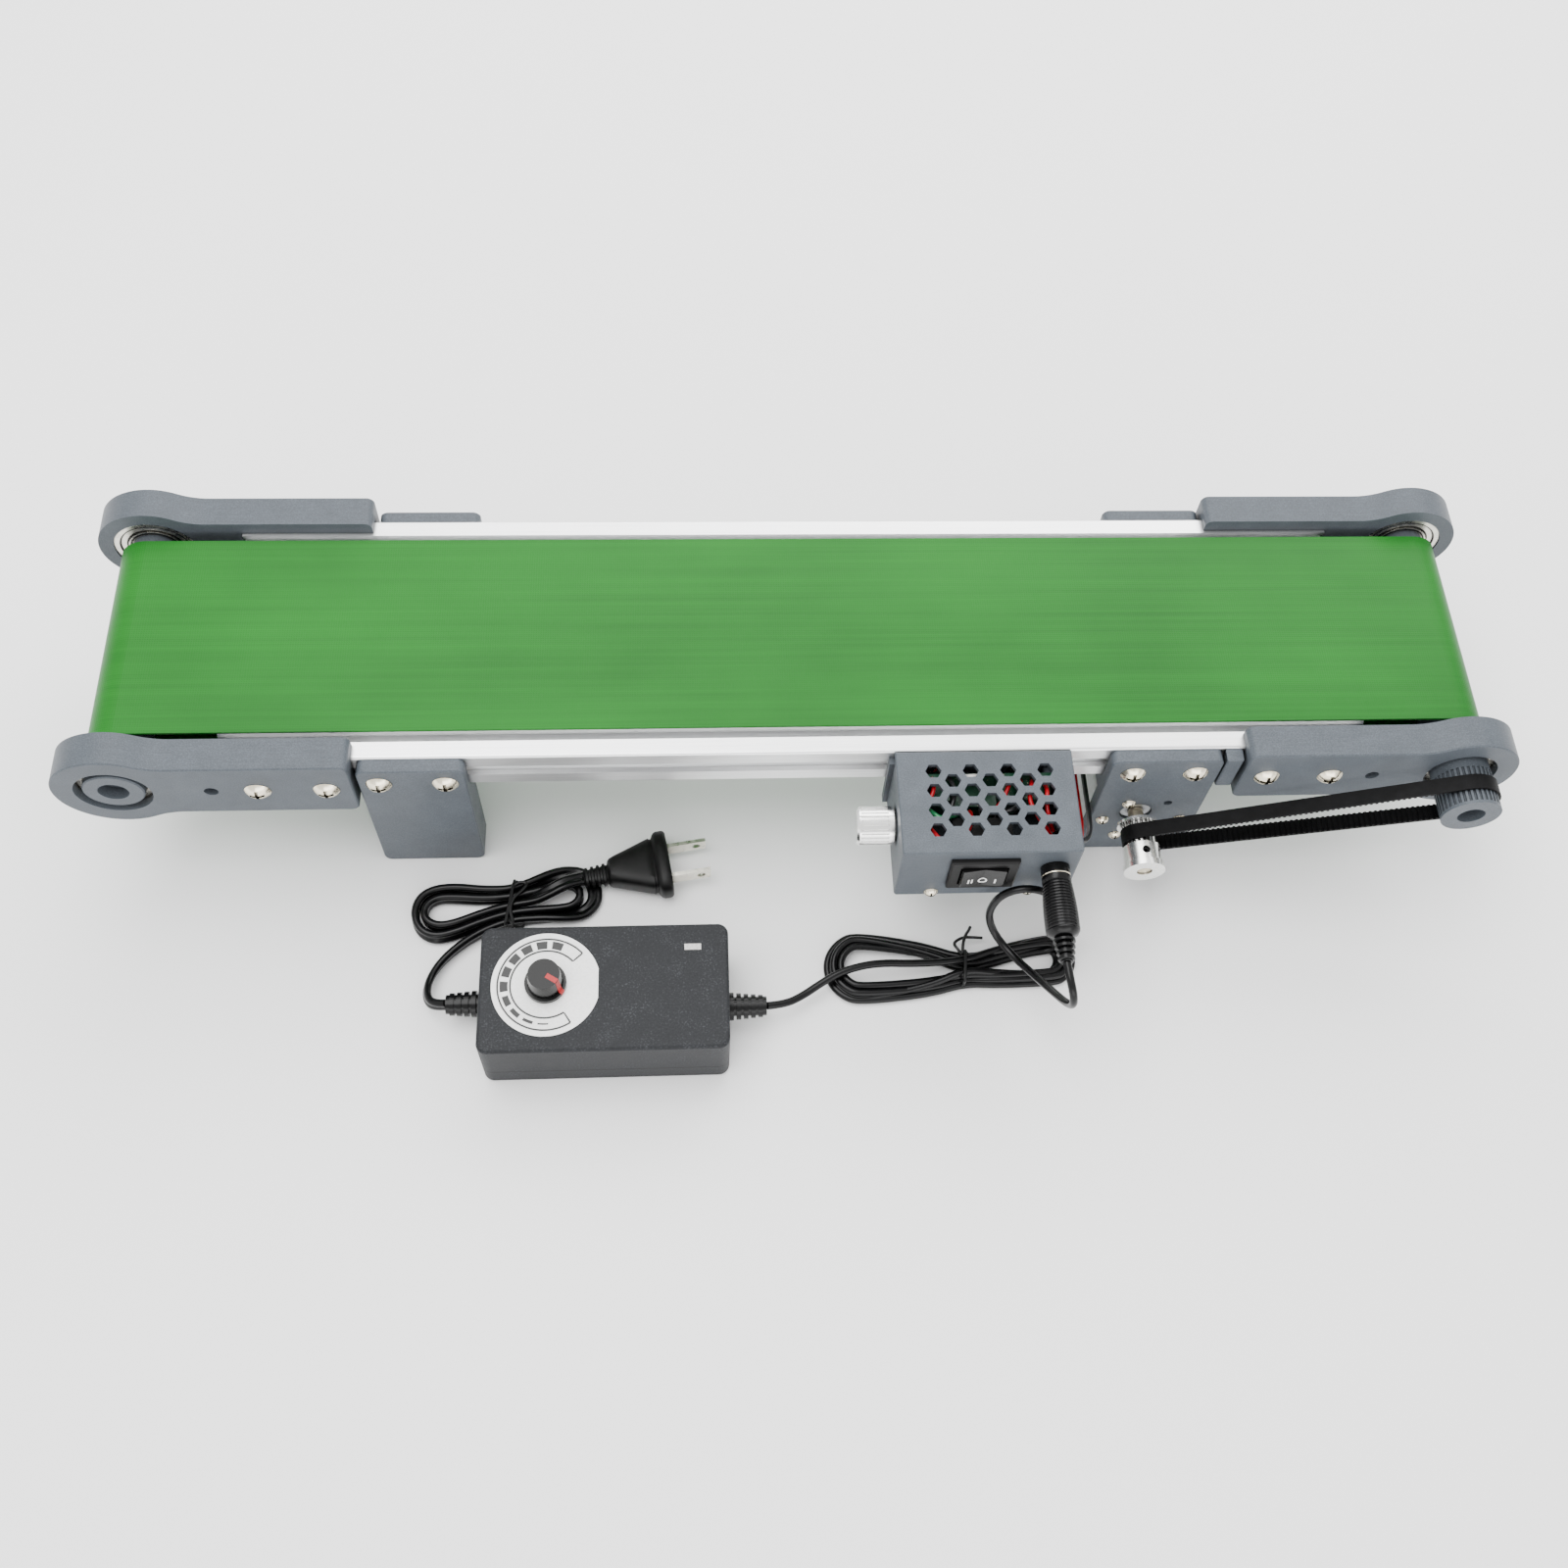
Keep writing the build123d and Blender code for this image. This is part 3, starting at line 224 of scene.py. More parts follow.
def printed(name, axis):
    """Grey printed plastic with layers stacked along one axis."""
    look = Look(name, SLATE, 0.6, Specular_IOR_Level=0.22)
    along = {"Y": (1, 0.02, 1), "Z": (1, 1, 0.02)}[axis]
    layers = look.noise(14.0, along, 4.0, 0.7)
    cloud = look.noise(9.0)
    speck = look.noise(0.45, detail=2.0)
    tone = look.joined("ADD", look.ranged(layers, 0.0, 0.5), look.ranged(cloud, 0.0, 0.3))
    tone = look.joined("ADD", tone, look.ranged(speck, 0.0, 0.35, 0.35, 0.7))
    color = look.tint(tone, (0.25, shade(SLATE, 0.68)), (0.6, SLATE), (0.95, shade(SLATE, 1.5)))
    # painted shade: darker in recesses and corners, by ambient occlusion
    look.color(look.painted_recess_shade(color, shade(SLATE, 0.2), 3.0, 0.25, 0.8))
    look.rough(cloud, 0.36, 0.52)
    look.bump((look.bands(0.3, axis, 0.15), 0.012), (speck, 0.05), (layers, 0.02))
    return look.material


def green_belt():
    base = (0.0064, 0.124, 0.0088)
    look = Look("green_belt", base, 0.42, Specular_IOR_Level=0.16)
    streaks = look.noise(30.0, (6, 0.05, 1), 5.0, 0.65)
    cloud = look.noise(60.0, (1.6, 1, 1), 3.0)
    weft = look.bands(0.9, "X", 0.4)
    warp = look.bands(0.9, "Y", 0.4)
    weave = look.joined("MULTIPLY", weft, warp)
    tone = look.joined("ADD", look.ranged(streaks, 0.0, 0.45), look.ranged(cloud, 0.0, 0.55))
    color = look.tint(tone, (0.32, shade(base, 0.72)), (0.5, base), (0.68, shade(base, 1.25)))
    look.color(look.mixed(look.ranged(weave, 0.0, 0.22), color, shade(base, 0.55)))
    look.rough(streaks, 0.34, 0.52)
    look.bump((weave, 0.03), (streaks, 0.02), (look.noise(1.2), 0.02))
    return look.material


def aluminium(name, color, roughness, axis_stretch, depth=0.002, recess_shade_reach=2.0):
    """Drawn or turned metal, its fine lines stretched along an axis."""
    look = Look(name, color, roughness, Metallic=1.0)
    lines = look.noise(1.2, axis_stretch, 6.0, 0.7)
    cloud = look.noise(25.0, (2, 1, 1))
    tone = look.tint(lines, (0.25, shade(color, 0.86)), (0.5, color), (0.75, shade(color, 1.1)))
    # painted shade: darker in recesses and corners, by ambient occlusion
    look.color(look.painted_recess_shade(tone, shade(color, 0.16), recess_shade_reach, 0.3, 0.8))
    look.rough(look.joined("MULTIPLY", lines, cloud), roughness * 0.75, roughness * 1.9)
    look.bump((lines, depth))
    return look.material


def metal(name, color, roughness, depth=0.0015, rings=()):
    """Plain metal, with painted shade in its recesses; rings are dark lines of painted shade in the
    grooves between the bearings' rings and shields, of (radius, half width) about the bearings'
    axes.
    """
    look = Look(name, color, roughness, Metallic=1.0)
    cloud = look.noise(2.2, detail=4.0)
    fine = look.noise(1.2, detail=2.0)
    tone = look.tint(cloud, (0.3, shade(color, 0.86)), (0.55, color), (0.8, shade(color, 1.1)))
    radius = look.bearing_radius() if rings else None
    # painted shade: dark lines in the grooves between the bearings' rings and shields
    for ring, half in rings:
        tone = look.painted_shade_line(radius, ring, half * 0.6, half, shade(color, 0.05), tone)
    # painted shade: darker in recesses and corners, by ambient occlusion
    look.color(look.painted_recess_shade(tone, shade(color, 0.06), 2.0, 0.4, 0.92))
    look.rough(cloud, roughness * 0.7, roughness * 1.5)
    look.bump((fine, depth))
    return look.material


def moulded(name, color, roughness, grain=0.35, depth=0.02, light=1.6, seam=None, **sockets):
    """Moulded plastic with a spark-eroded texture and painted shade in its recesses; seam is the
    height of a parting line, drawn as a dark line of painted shade.
    """
    look = Look(name, color, roughness, **sockets)
    fine = look.noise(grain, detail=3.0, roughness=0.6)
    cloud = look.noise(8.0)
    tone = look.joined("ADD", look.ranged(fine, 0.0, 0.7), look.ranged(cloud, 0.0, 0.3))
    tinted = look.tint(tone, (0.3, shade(color, 0.7)), (0.55, color), (0.8, shade(color, light)))
    # painted shade: a dark line in the parting gap at the seam's height
    if seam is not None:
        height = look.coordinate("Z")
        tinted = look.painted_shade_line(height, seam, 0.2 * MM, 0.4 * MM, shade(color, 0.08), tinted)
    # painted shade: darker in recesses and corners, by ambient occlusion
    look.color(look.painted_recess_shade(tinted, shade(color, 0.1), 1.2, 0.3, 0.8))
    look.rough(cloud, roughness * 0.85, roughness * 1.15)
    look.bump((fine, depth))
    return look.material


def rubber(name, color, roughness, **sockets):
    look = Look(name, color, roughness, **sockets)
    smudge = look.noise(5.0, detail=4.0)
    fine = look.noise(0.3, detail=2.0)
    look.color(look.tint(smudge, (0.35, shade(color, 0.8)), (0.7, shade(color, 1.5))))
    look.rough(smudge, roughness * 0.75, roughness * 1.3)
    look.bump((fine, 0.006), (smudge, 0.02))
    return look.material


def toothed_belt_rubber():
    color = (0.0022, 0.0022, 0.0024)
    look = Look("toothed_belt_rubber", color, 0.55, Specular_IOR_Level=0.1)
    cloth = look.bands(0.35, "Y", 0.2)
    smudge = look.noise(4.0, detail=4.0)
    look.color(look.tint(smudge, (0.3, shade(color, 0.7)), (0.75, shade(color, 2.0))))
    look.bump((cloth, 0.01), (look.noise(0.5), 0.02))
    return look.material


def circuit_board():
    green = (0.004, 0.034, 0.016)
    look = Look("circuit_board", green, 0.35, Coat_Weight=0.4)
    brick = look.node("ShaderNodeTexBrick")
    look.link(look.scaled(2.5), brick.inputs["Vector"])
    brick.inputs["Scale"].default_value = 1.0
    brick.inputs["Mortar Size"].default_value = 0.12
    pads = look.cells(1.9)
    tracks = look.mixed(brick.outputs["Fac"], shade(green, 0.7), shade(green, 1.7))
    copper = look.ranged(pads, 1.0, 0.0, 0.10, 0.16)
    look.color(look.mixed(copper, tracks, (0.42, 0.38, 0.28)))
    look.bump((brick.outputs["Fac"], 0.03))
    return look.material


def label_paper():
    look = Look("label_paper", (0.84, 0.84, 0.82), 0.38, Coat_Weight=0.3)
    fibre = look.noise(0.8, detail=5.0)
    look.color(look.tint(fibre, (0.3, (0.76, 0.76, 0.745)), (0.6, (0.86, 0.86, 0.85))))
    look.bump((fibre, 0.006))
    return look.material


def ink(name, color, roughness=0.45):
    look = Look(name, color, roughness)
    blot = look.noise(0.5, detail=3.0)
    look.color(look.tint(blot, (0.35, shade(color, 0.8)), (0.65, shade(color, 1.15))))
    look.bump((blot, 0.004))
    return look.material


def lamp_lens():
    look = Look("lamp_lens", (0.62, 0.60, 0.56), 0.25, Transmission_Weight=0.3, IOR=1.49,
                Coat_Weight=0.5)
    haze = look.noise(0.9)
    look.color(look.tint(haze, (0.3, (0.5, 0.49, 0.46)), (0.7, (0.72, 0.71, 0.68))))
    look.bump((look.bands(0.5, "X"), 0.02))
    return look.material


SIDE_PRINT = printed("print_sideways", "Y")
UPRIGHT_PRINT = printed("print_upright", "Z")
GREEN = green_belt()
RAIL = aluminium("rail_aluminium", (0.95, 0.955, 0.96), 0.32, (40, 0.5, 0.5))
BED = aluminium("bed_aluminium", (0.88, 0.885, 0.89), 0.34, (40, 0.5, 0.5))
PULLEY = aluminium("pulley_aluminium", (0.90, 0.90, 0.88), 0.24, (1, 12, 1))
# the bearing steel's rings are dark lines of painted shade in the bearings' grooves
STEEL = metal("bearing_steel", (0.80, 0.78, 0.70), 0.26,
              rings=((13.55, 0.45), (11.0, 0.3), (9.55, 0.45)))
AXLE = metal("axle_steel", (0.30, 0.30, 0.31), 0.34)
SHAFT = metal("shaft_steel", (0.74, 0.66, 0.50), 0.28)
NICKEL = metal("nickel_screws", (0.92, 0.84, 0.66), 0.22)
ZINC = metal("zinc_housing", (0.60, 0.61, 0.62), 0.36, depth=0.006)
CHROME = aluminium("plated_knob", (0.94, 0.94, 0.92), 0.16, (1, 1, 14), 0.001, 0.8)
BLACK_STEEL = metal("black_steel", (0.045, 0.045, 0.046), 0.42)
BLADES = metal("plated_blades", (0.80, 0.77, 0.68), 0.27)
BLACK = moulded("black_mould", (0.006, 0.006, 0.006), 0.46, Specular_IOR_Level=0.18)
# the adapter's seam is a dark line of painted shade in the gap between base and top
ADAPTER = moulded("adapter_mould", (0.020, 0.021, 0.023), 0.5, grain=0.7, depth=0.06, light=3.4,
                  seam=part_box("adapter_base")[1].z, Specular_IOR_Level=0.12)
GLOSS = moulded("black_gloss", (0.004, 0.004, 0.004), 0.2, grain=0.6, depth=0.004,
                Specular_IOR_Level=0.2)
CORD = rubber("cord_jacket", (0.002, 0.002, 0.0022), 0.24, Specular_IOR_Level=0.22)
PLUG = rubber("plug_mould", (0.003, 0.003, 0.003), 0.42, Specular_IOR_Level=0.2)
TIE = rubber("tie_jacket", (0.004, 0.004, 0.004), 0.36, Specular_IOR_Level=0.3)
TIMING = toothed_belt_rubber()
BOARD = circuit_board()
PAPER = label_paper()
LENS = lamp_lens()
BLACK_INK = ink("black_ink", (0.002, 0.002, 0.002))
WHITE_INK = ink("white_ink", (0.80, 0.80, 0.79))
RED_PAINT = ink("red_paint", (0.34, 0.0015, 0.003), 0.5)
RED_WIRE = rubber("red_wire", (0.36, 0.005, 0.012), 0.34, Specular_IOR_Level=0.3)
BLACK_WIRE = rubber("black_wire", (0.014, 0.014, 0.015), 0.34)
WHITE_WIRE = rubber("white_wire", (0.62, 0.61, 0.58), 0.36)
TERMINAL_GREEN = moulded("terminal_green", (0.02, 0.22, 0.08), 0.4)

CAD_LOOKS = (
    (SIDE_PRINT, "front_left_bracket", "front_right_bracket", "back_left_bracket",
     "back_right_bracket", "front_left_foot", "back_left_foot", "back_right_foot", "motor_plate",
     "rail_spacer", "drive_drum", "tail_drum", "drive_collar", "tail_collars", "drive_pulley"),
    (UPRIGHT_PRINT, "control_box", "control_box_plate"),
    (GREEN, "conveyor_belt"),
    (RAIL, "front_rail", "back_rail"),
    (BED, "bed_plate"),
    (PULLEY, "motor_pulley"),
    (STEEL, "bearing_outer_rings", "bearing_balls", "bearing_shields", "drive_inner_rings",
     "tail_inner_rings"),
    (AXLE, "drive_axle", "tail_axle"),
    (SHAFT, "motor_shaft"),
    (NICKEL, "m5_screws", "m3_screws", "slot_nuts"),
    (ZINC, "motor_gearbox", "motor_can", "pot_body"),
    (CHROME, "speed_knob"),
    (BLACK_STEEL, "motor_set_screw"),
    (BLADES, "ac_plug_blades"),
    (BLACK, "switch_body"),
    (GLOSS, "switch_rocker", "dc_jack", "adapter_knob"),
    (ADAPTER, "adapter_base", "adapter_top"),
    (CORD, "adapter_strain_reliefs"),
    (TIMING, "timing_belt"),
    (BOARD, "control_board", "adapter_board", "board_parts"),
    (PAPER, "adapter_dial"),
    (LENS, "adapter_lamp"),
)
for material, *names in CAD_LOOKS:
    for name in names:
        NODES[name].material_slots[0].material = material


# ---- mesh helpers ----
SHARP_ANGLE = radians(38)


def placed(name, data):
    made = bpy.data.objects.new(name, data)
    bpy.context.scene.collection.objects.link(made)
    return made


def piece(name, bm, material, body, smooth=True):
    bmesh.ops.recalc_face_normals(bm, faces=bm.faces)
    mesh = bpy.data.meshes.new(name)
    bm.to_mesh(mesh)
    bm.free()
    mesh.materials.append(material)
    for face in mesh.polygons:
        face.use_smooth = smooth
    if smooth:
        mesh.set_sharp_from_angle(angle=SHARP_ANGLE)
    made = placed(name, mesh)
    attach(made, body)
    return made


def add_loop(bm, points):
    return [bm.verts.new(p) for p in points]


def skin(bm, loops, capped=True):
    """Faces between each closed loop and the next, and over both ends."""
    for a, b in zip(loops, loops[1:]):
        for i in range(len(a)):
            j = (i + 1) % len(a)
            bm.faces.new((a[i], a[j], b[j], b[i]))
    if capped:
        bm.faces.new(loops[0])
        bm.faces.new(loops[-1])


def full_turn(steps):
    return [2 * pi * i / steps for i in range(steps)]


def lathe(bm, profile, origin, axis, steps=48):
    """Profile of (along, radius) in millimetres, turned about the axis through origin."""
    axis = Vector(axis).normalized()
    side = axis.orthogonal().normalized()
    up = axis.cross(side)
    loops = []
    for along, radius in profile:
        centre = origin + axis * along * MM
        spokes = [side * cos(t) + up * sin(t) for t in full_turn(steps)]
        loops.append(add_loop(bm, [centre + spoke * radius * MM for spoke in spokes]))
    skin(bm, loops)


def nurbs_curve(name, points, radius):
    data = bpy.data.curves.new(name, "CURVE")
    data.dimensions = "3D"
    data.resolution_u = 8
    data.bevel_depth = radius
    data.bevel_resolution = 5
    data.use_fill_caps = True
    spline = data.splines.new("NURBS")
    spline.points.add(len(points) - 1)
    for control, place in zip(spline.points, points):
        control.co = (*place, 1.0)
    spline.order_u = 3
    spline.use_endpoint_u = True
    return data


def cord_piece(name, points, radius, material):
    data = nurbs_curve(name, points, radius)
    data.materials.append(material)
    made = placed(name, data)
    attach(made, ROOT)
    return made


def line_of(points):
    """Places along the NURBS line that has these control points."""
    data = nurbs_curve("line", points, 0.0)
    holder = bpy.data.objects.new("line", data)
    mesh = bpy.data.meshes.new_from_object(holder)
    places = [v.co.copy() for v in mesh.vertices]
    bpy.data.meshes.remove(mesh)
    bpy.data.objects.remove(holder)
    bpy.data.curves.remove(data)
    return places


def swept(bm, places, section, lean=None):
    """A closed section of (across, up) in millimetres along places; lean turns it, in degrees."""
    loops = []
    last = len(places) - 1
    for i, place in enumerate(places):
        along = (places[min(i + 1, last)] - places[max(i - 1, 0)]).normalized()
        across = along.cross(Vector((0, 0, 1))).normalized()
        up = across.cross(along)
        turn = Matrix.Rotation(radians(lean(i / last)) if lean else 0.0, 3, along)
        across, up = turn @ across, turn @ up
        loops.append(add_loop(bm, [place + (across * a + up * b) * MM for a, b in section]))
    skin(bm, loops)


def round_section(radius, steps=10):
    return [(radius * cos(t), radius * sin(t)) for t in full_turn(steps)]


# ---- output cord: adapter to bundle to plug ----
DC_RADIUS = 1.5
DC_LEAD = (
    (-14.7, -126.7, 10.0), (-7.8, -125.6, 8.2), (-0.6, -121.6, 6.6), (6.8, -116.8, 7.4),
    (15.0, -112.6, 8.4), (28.0, -109.6, 8.2), (44.0, -110.2, 7.6),
)
DC_LOOP = (
    (101.6, -103.8, 6.0), (102.0, -103.6, 14.0), (100.6, -102.8, 24.0), (97.6, -101.6, 35.0),
    (93.0, -100.4, 44.6), (86.0, -99.6, 51.4), (78.0, -99.4, 52.6), (71.6, -99.8, 48.0),
    (68.9, -100.6, 39.0), (69.2, -101.8, 30.0), (72.6, -105.8, 23.0), (78.4, -113.2, 21.4),
    (84.6, -122.4, 25.6), (89.4, -132.0, 33.0), (92.2, -140.0, 41.5), (92.9, -144.0, 49.5),
    (92.0, -143.0, 56.0), (90.6, -138.2, 60.0), (90.0, -132.0, 60.5),
)
# each turn: left reach, left half width, right reach, right half width, and height
DC_TURNS = (
    (9.0, 14.0, 105.8, 9.6, 1.7), (14.2, 8.8, 101.4, 6.4, 4.4),
    (11.4, 11.8, 104.4, 8.2, 4.4), (10.4, 13.0, 99.8, 6.0, 1.7),
)
# the strands' places in the tie, heading right and heading left
DC_TIE_X = 62.5
DC_TIE_OUT = ((-109.0, 7.0), (-107.4, 4.4), (-108.4, 1.7), (-110.6, 4.5), (-111.6, 1.7))
DC_TIE_BACK = ((-116.4, 1.7), (-113.6, 4.4), (-114.8, 1.8), (-112.6, 7.0))
DC_MIDDLE_RIGHT = -107.4
DC_MIDDLE_LEFT = -109.2
# how far strands bow out between the tie and a fold, and a fold's points, in degrees of its turn
DC_BOW = 0.6
FOLD_POINTS = 7
FOLD_START = 78
FOLD_STEP = 26
FOLD_STRETCH = 1.05


def dc_fold(end, middle_y, half, height, side):
    """A half turn about an end of the bundle, clockwise from above; side is 1 right and -1 left."""
    points = []
    for step in range(FOLD_POINTS):
        turn = radians(FOLD_START - FOLD_STEP * step)
        x = end - side * half * FOLD_STRETCH * (1 - cos(turn))
        points.append((x, middle_y + side * half * sin(turn), height))
    return points


def dc_turn(index):
    """From the tie round the right end, back through the tie, and round the left end."""
    left, left_half, right, right_half, height = DC_TURNS[index]
    out, back, after = DC_TIE_OUT[index], DC_TIE_BACK[index], DC_TIE_OUT[index + 1]

    def between(shift, strand, fold_y, bow):
        """On the way between a strand's place in the tie and a fold's near end."""
        y, z = strand
        return (DC_TIE_X + shift, (y + fold_y) / 2 + bow, (z + height) / 2)

    points = [(DC_TIE_X, *out), between(14, out, DC_MIDDLE_RIGHT + right_half, 0.0)]
    points += dc_fold(right, DC_MIDDLE_RIGHT, right_half, height, 1)
    points.append(between(13, back, DC_MIDDLE_RIGHT - right_half, -DC_BOW))
    points.append((DC_TIE_X, *back))
    points.append(between(-14, back, DC_MIDDLE_LEFT - left_half, -DC_BOW))
    points += dc_fold(left, DC_MIDDLE_LEFT, left_half, height, -1)
    points.append(between(-16, after, DC_MIDDLE_LEFT + left_half, DC_BOW))
    return points


def dc_route():
    route = list(DC_LEAD)
    for index in range(len(DC_TURNS)):
        route += dc_turn(index)
    route.append((DC_TIE_X, *DC_TIE_OUT[len(DC_TURNS)]))
    route += [(76.5, -108.0, 2.4), (88.0, -104.6, 1.8), (96.4, -103.6, 2.0)]
    return [point(*p) for p in route + list(DC_LOOP)]


dc_points = dc_route()
dc_line = line_of(dc_points)
dc_cord = cord_piece("output_cord", dc_points, DC_RADIUS * MM, CORD)
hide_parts("dc_cord_lead", "dc_cord_hank", "dc_cord_loop")


# ---- output plug: finely ribbed grip, waist and ribbed relief ----
GRIP_GROOVES = 15
GRIP_STEP = 1.2
GROOVE_DEPTH = 0.28
RELIEF_START = 24.6
RELIEF_RIBS = 4
RELIEF_CORE = 2.3


def jack_face():
    """Where the jack's middle line meets its outer face."""
    jack = middle("dc_jack")
    return Vector((jack.x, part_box("dc_jack")[0].y, jack.z))


def dc_plug():
    """Lathed from the jack's face out to the end of the cord's loop."""
    face = jack_face()
    profile = [(0.02, 3.6), (0.05, 5.0), (0.5, 5.4), (2.6, 5.4), (3.0, 5.1)]
    for i in range(GRIP_GROOVES):
        start = 3.4 + i * GRIP_STEP
        radius = 5.35 + 0.95 * sin(pi * min(1.0, (i + 1) / 12) / 2)
        profile += [
            (start, radius - GROOVE_DEPTH), (start + 0.25, radius),
            (start + 0.85, radius), (start + 1.08, radius - GROOVE_DEPTH),
        ]
    profile += [(21.8, 6.2), (23.0, 5.4), (23.7, 4.1), (24.2, 3.3)]
    reach = (face.y - point(*DC_LOOP[-1]).y) / MM
    step = (reach - RELIEF_START) / RELIEF_RIBS
    for i in range(RELIEF_RIBS):
        start = RELIEF_START + i * step
        radius = 4.1 - 0.34 * i
        profile += [
            (start, RELIEF_CORE), (start + 0.35, radius),
            (start + step * 0.55, radius), (start + step * 0.72, RELIEF_CORE),
        ]
    profile += [(reach - 0.1, 2.4), (reach, 2.0)]
    bm = bmesh.new()
    lathe(bm, profile, face, (0, -1, 0))
    made = piece("output_plug", bm, CORD, ROOT)
    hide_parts("dc_plug")
    return made


def jack_ring():
    """Bright contact ring seen round the plug, on the jack's collar."""
    bm = bmesh.new()
    profile = [(-0.6, 4.3), (0.25, 4.4), (0.45, 4.7), (0.45, 5.15), (0.2, 5.35), (-0.6, 5.37)]
    lathe(bm, profile, jack_face(), (0, -1, 0))
    return piece("jack_ring", bm, NICKEL, ROOT)


plug_piece = dc_plug()
jack_ring()


# ---- twist ties ----
TIE_RADIUS = 0.62
TIE_STEPS = 20
TIE_START = 0.6
TIE_FLATNESS = 1.35
TIE_LOWEST = 0.75


def flattened(value):
    """A cosine or sine with its peaks cut off, for a ring with flat sides."""
    return max(-1.0, min(1.0, TIE_FLATNESS * value))


def twist_tie(name, centre_x, centre_y, half_y, top, turn, tails):
    """A thin tie once round a bundle that lies along X, its two ends twisted and standing off."""
    ring = []
    for i in range(TIE_STEPS + 1):
        angle = 2 * pi * i / TIE_STEPS + TIE_START
        y = half_y * flattened(cos(angle))
        z = top / 2 + (top / 2 - 0.1) * flattened(sin(angle))
        x = centre_x + turn * y + (0.5 if i > TIE_STEPS / 2 else -0.2)
        ring.append(point(x, centre_y + y, max(TIE_LOWEST, z)))
    bm = bmesh.new()
    for route in [ring] + [[point(*p) for p in tail] for tail in tails]:
        swept(bm, line_of(route), round_section(TIE_RADIUS, 8))
    return piece(name, bm, TIE, ROOT)


dc_tie = twist_tie(
    "output_cord_tie", DC_TIE_X, -111.6, 6.3, 9.0, 0.1,
    (
        ((61.4, -106.4, 7.2), (60.0, -104.6, 8.2), (58.8, -102.6, 7.6), (59.6, -100.8, 6.6),
         (62.6, -99.2, 6.6), (66.4, -99.0, 6.0), (70.6, -98.8, 4.6)),
        ((61.8, -106.2, 7.8), (62.0, -103.8, 8.6), (62.6, -101.4, 8.6), (63.8, -98.4, 7.4),
         (65.6, -95.8, 6.0), (66.2, -94.4, 5.4)),
    ),
)

# ---- mains cord: flat twin cord from the adapter to its bundle and plug ----
# each point: x, y, height of the cord's middle, and how far its width leans from upright,
# in degrees
AC_ROUTE = (
    (-134.6, -123.3, 10.0, 0), (-139.2, -123.1, 8.8, 10), (-142.6, -119.4, 6.4, 15),
    (-143.0, -112.4, 4.2, 15), (-139.8, -105.0, 3.2, 10), (-133.8, -98.6, 3.2, 5),
    (-126.6, -93.2, 3.2, 0), (-119.4, -89.6, 3.2, 0), (-112.0, -87.2, 3.2, 0),
    (-103.0, -86.4, 3.1, 10), (-93.6, -86.0, 3.0, 45), (-86.0, -84.6, 2.0, 80),
    (-81.4, -80.6, 1.75, 90), (-80.4, -75.6, 1.75, 90), (-82.2, -69.8, 1.75, 90),
    (-87.4, -66.6, 1.9, 85), (-95.0, -67.2, 2.9, 50), (-104.0, -70.6, 3.1, 10),
    (-113.0, -74.1, 3.2, 0), (-124.0, -74.2, 3.2, 5), (-134.0, -73.0, 3.2, 10),
    (-142.6, -73.4, 3.2, 5), (-148.4, -76.8, 3.2, 0), (-150.2, -83.2, 3.2, 0),
    (-148.2, -90.0, 3.1, -10), (-142.4, -93.8, 3.0, -24), (-134.4, -92.4, 3.0, -24),
    (-124.0, -87.6, 3.1, -8), (-112.6, -83.9, 3.2, 0), (-102.0, -83.0, 3.2, 0),
    (-94.0, -82.6, 3.2, 0), (-89.0, -81.6, 3.2, 0), (-86.4, -78.6, 3.2, 0), (-86.6, -74.8, 3.2, 0),
    (-89.4, -72.2, 3.2, 0), (-94.0, -72.0, 3.2, 0), (-101.0, -74.6, 3.2, 0),
    (-113.0, -77.4, 3.2, 0), (-124.0, -78.0, 3.2, 5), (-134.0, -77.2, 3.2, 10),
    (-140.6, -77.0, 3.2, 5), (-145.0, -79.2, 3.2, 0), (-146.6, -83.2, 3.2, 0),
    (-144.8, -87.2, 3.2, 0), (-140.6, -89.2, 3.1, -10), (-134.2, -88.2, 3.1, -10),
    (-124.0, -84.0, 3.2, -5), (-113.0, -80.6, 3.4, 5), (-105.0, -79.2, 4.8, 30),
    (-99.4, -77.4, 7.2, 70), (-94.6, -75.2, 8.8, 88), (-90.4, -73.2, 8.6, 90),
    (-87.0, -71.7, 7.2, 90), (-83.6, -70.7, 6.3, 90),
)
AC_WIDTH = 5.8
AC_THICKNESS = 3.0


def twin_section():
    """Two round wires side by side, joined by a web; the width is upright."""
    radius = AC_THICKNESS / 2
    offset = AC_WIDTH / 2 - radius
    section = []
    for side, start in ((1, -50), (-1, 130)):
        for i in range(9):
            angle = radians(start + 280 * i / 8)
            section.append((radius * cos(angle), side * offset + radius * sin(angle)))
    return section


def mains_lean(share):
    """The cord's lean in degrees at a share of its way."""
    at = share * (len(AC_ROUTE) - 1)
    before = min(int(at), len(AC_ROUTE) - 2)
    start, stop = AC_ROUTE[before][3], AC_ROUTE[before + 1][3]
    return start + (stop - start) * (at - before)


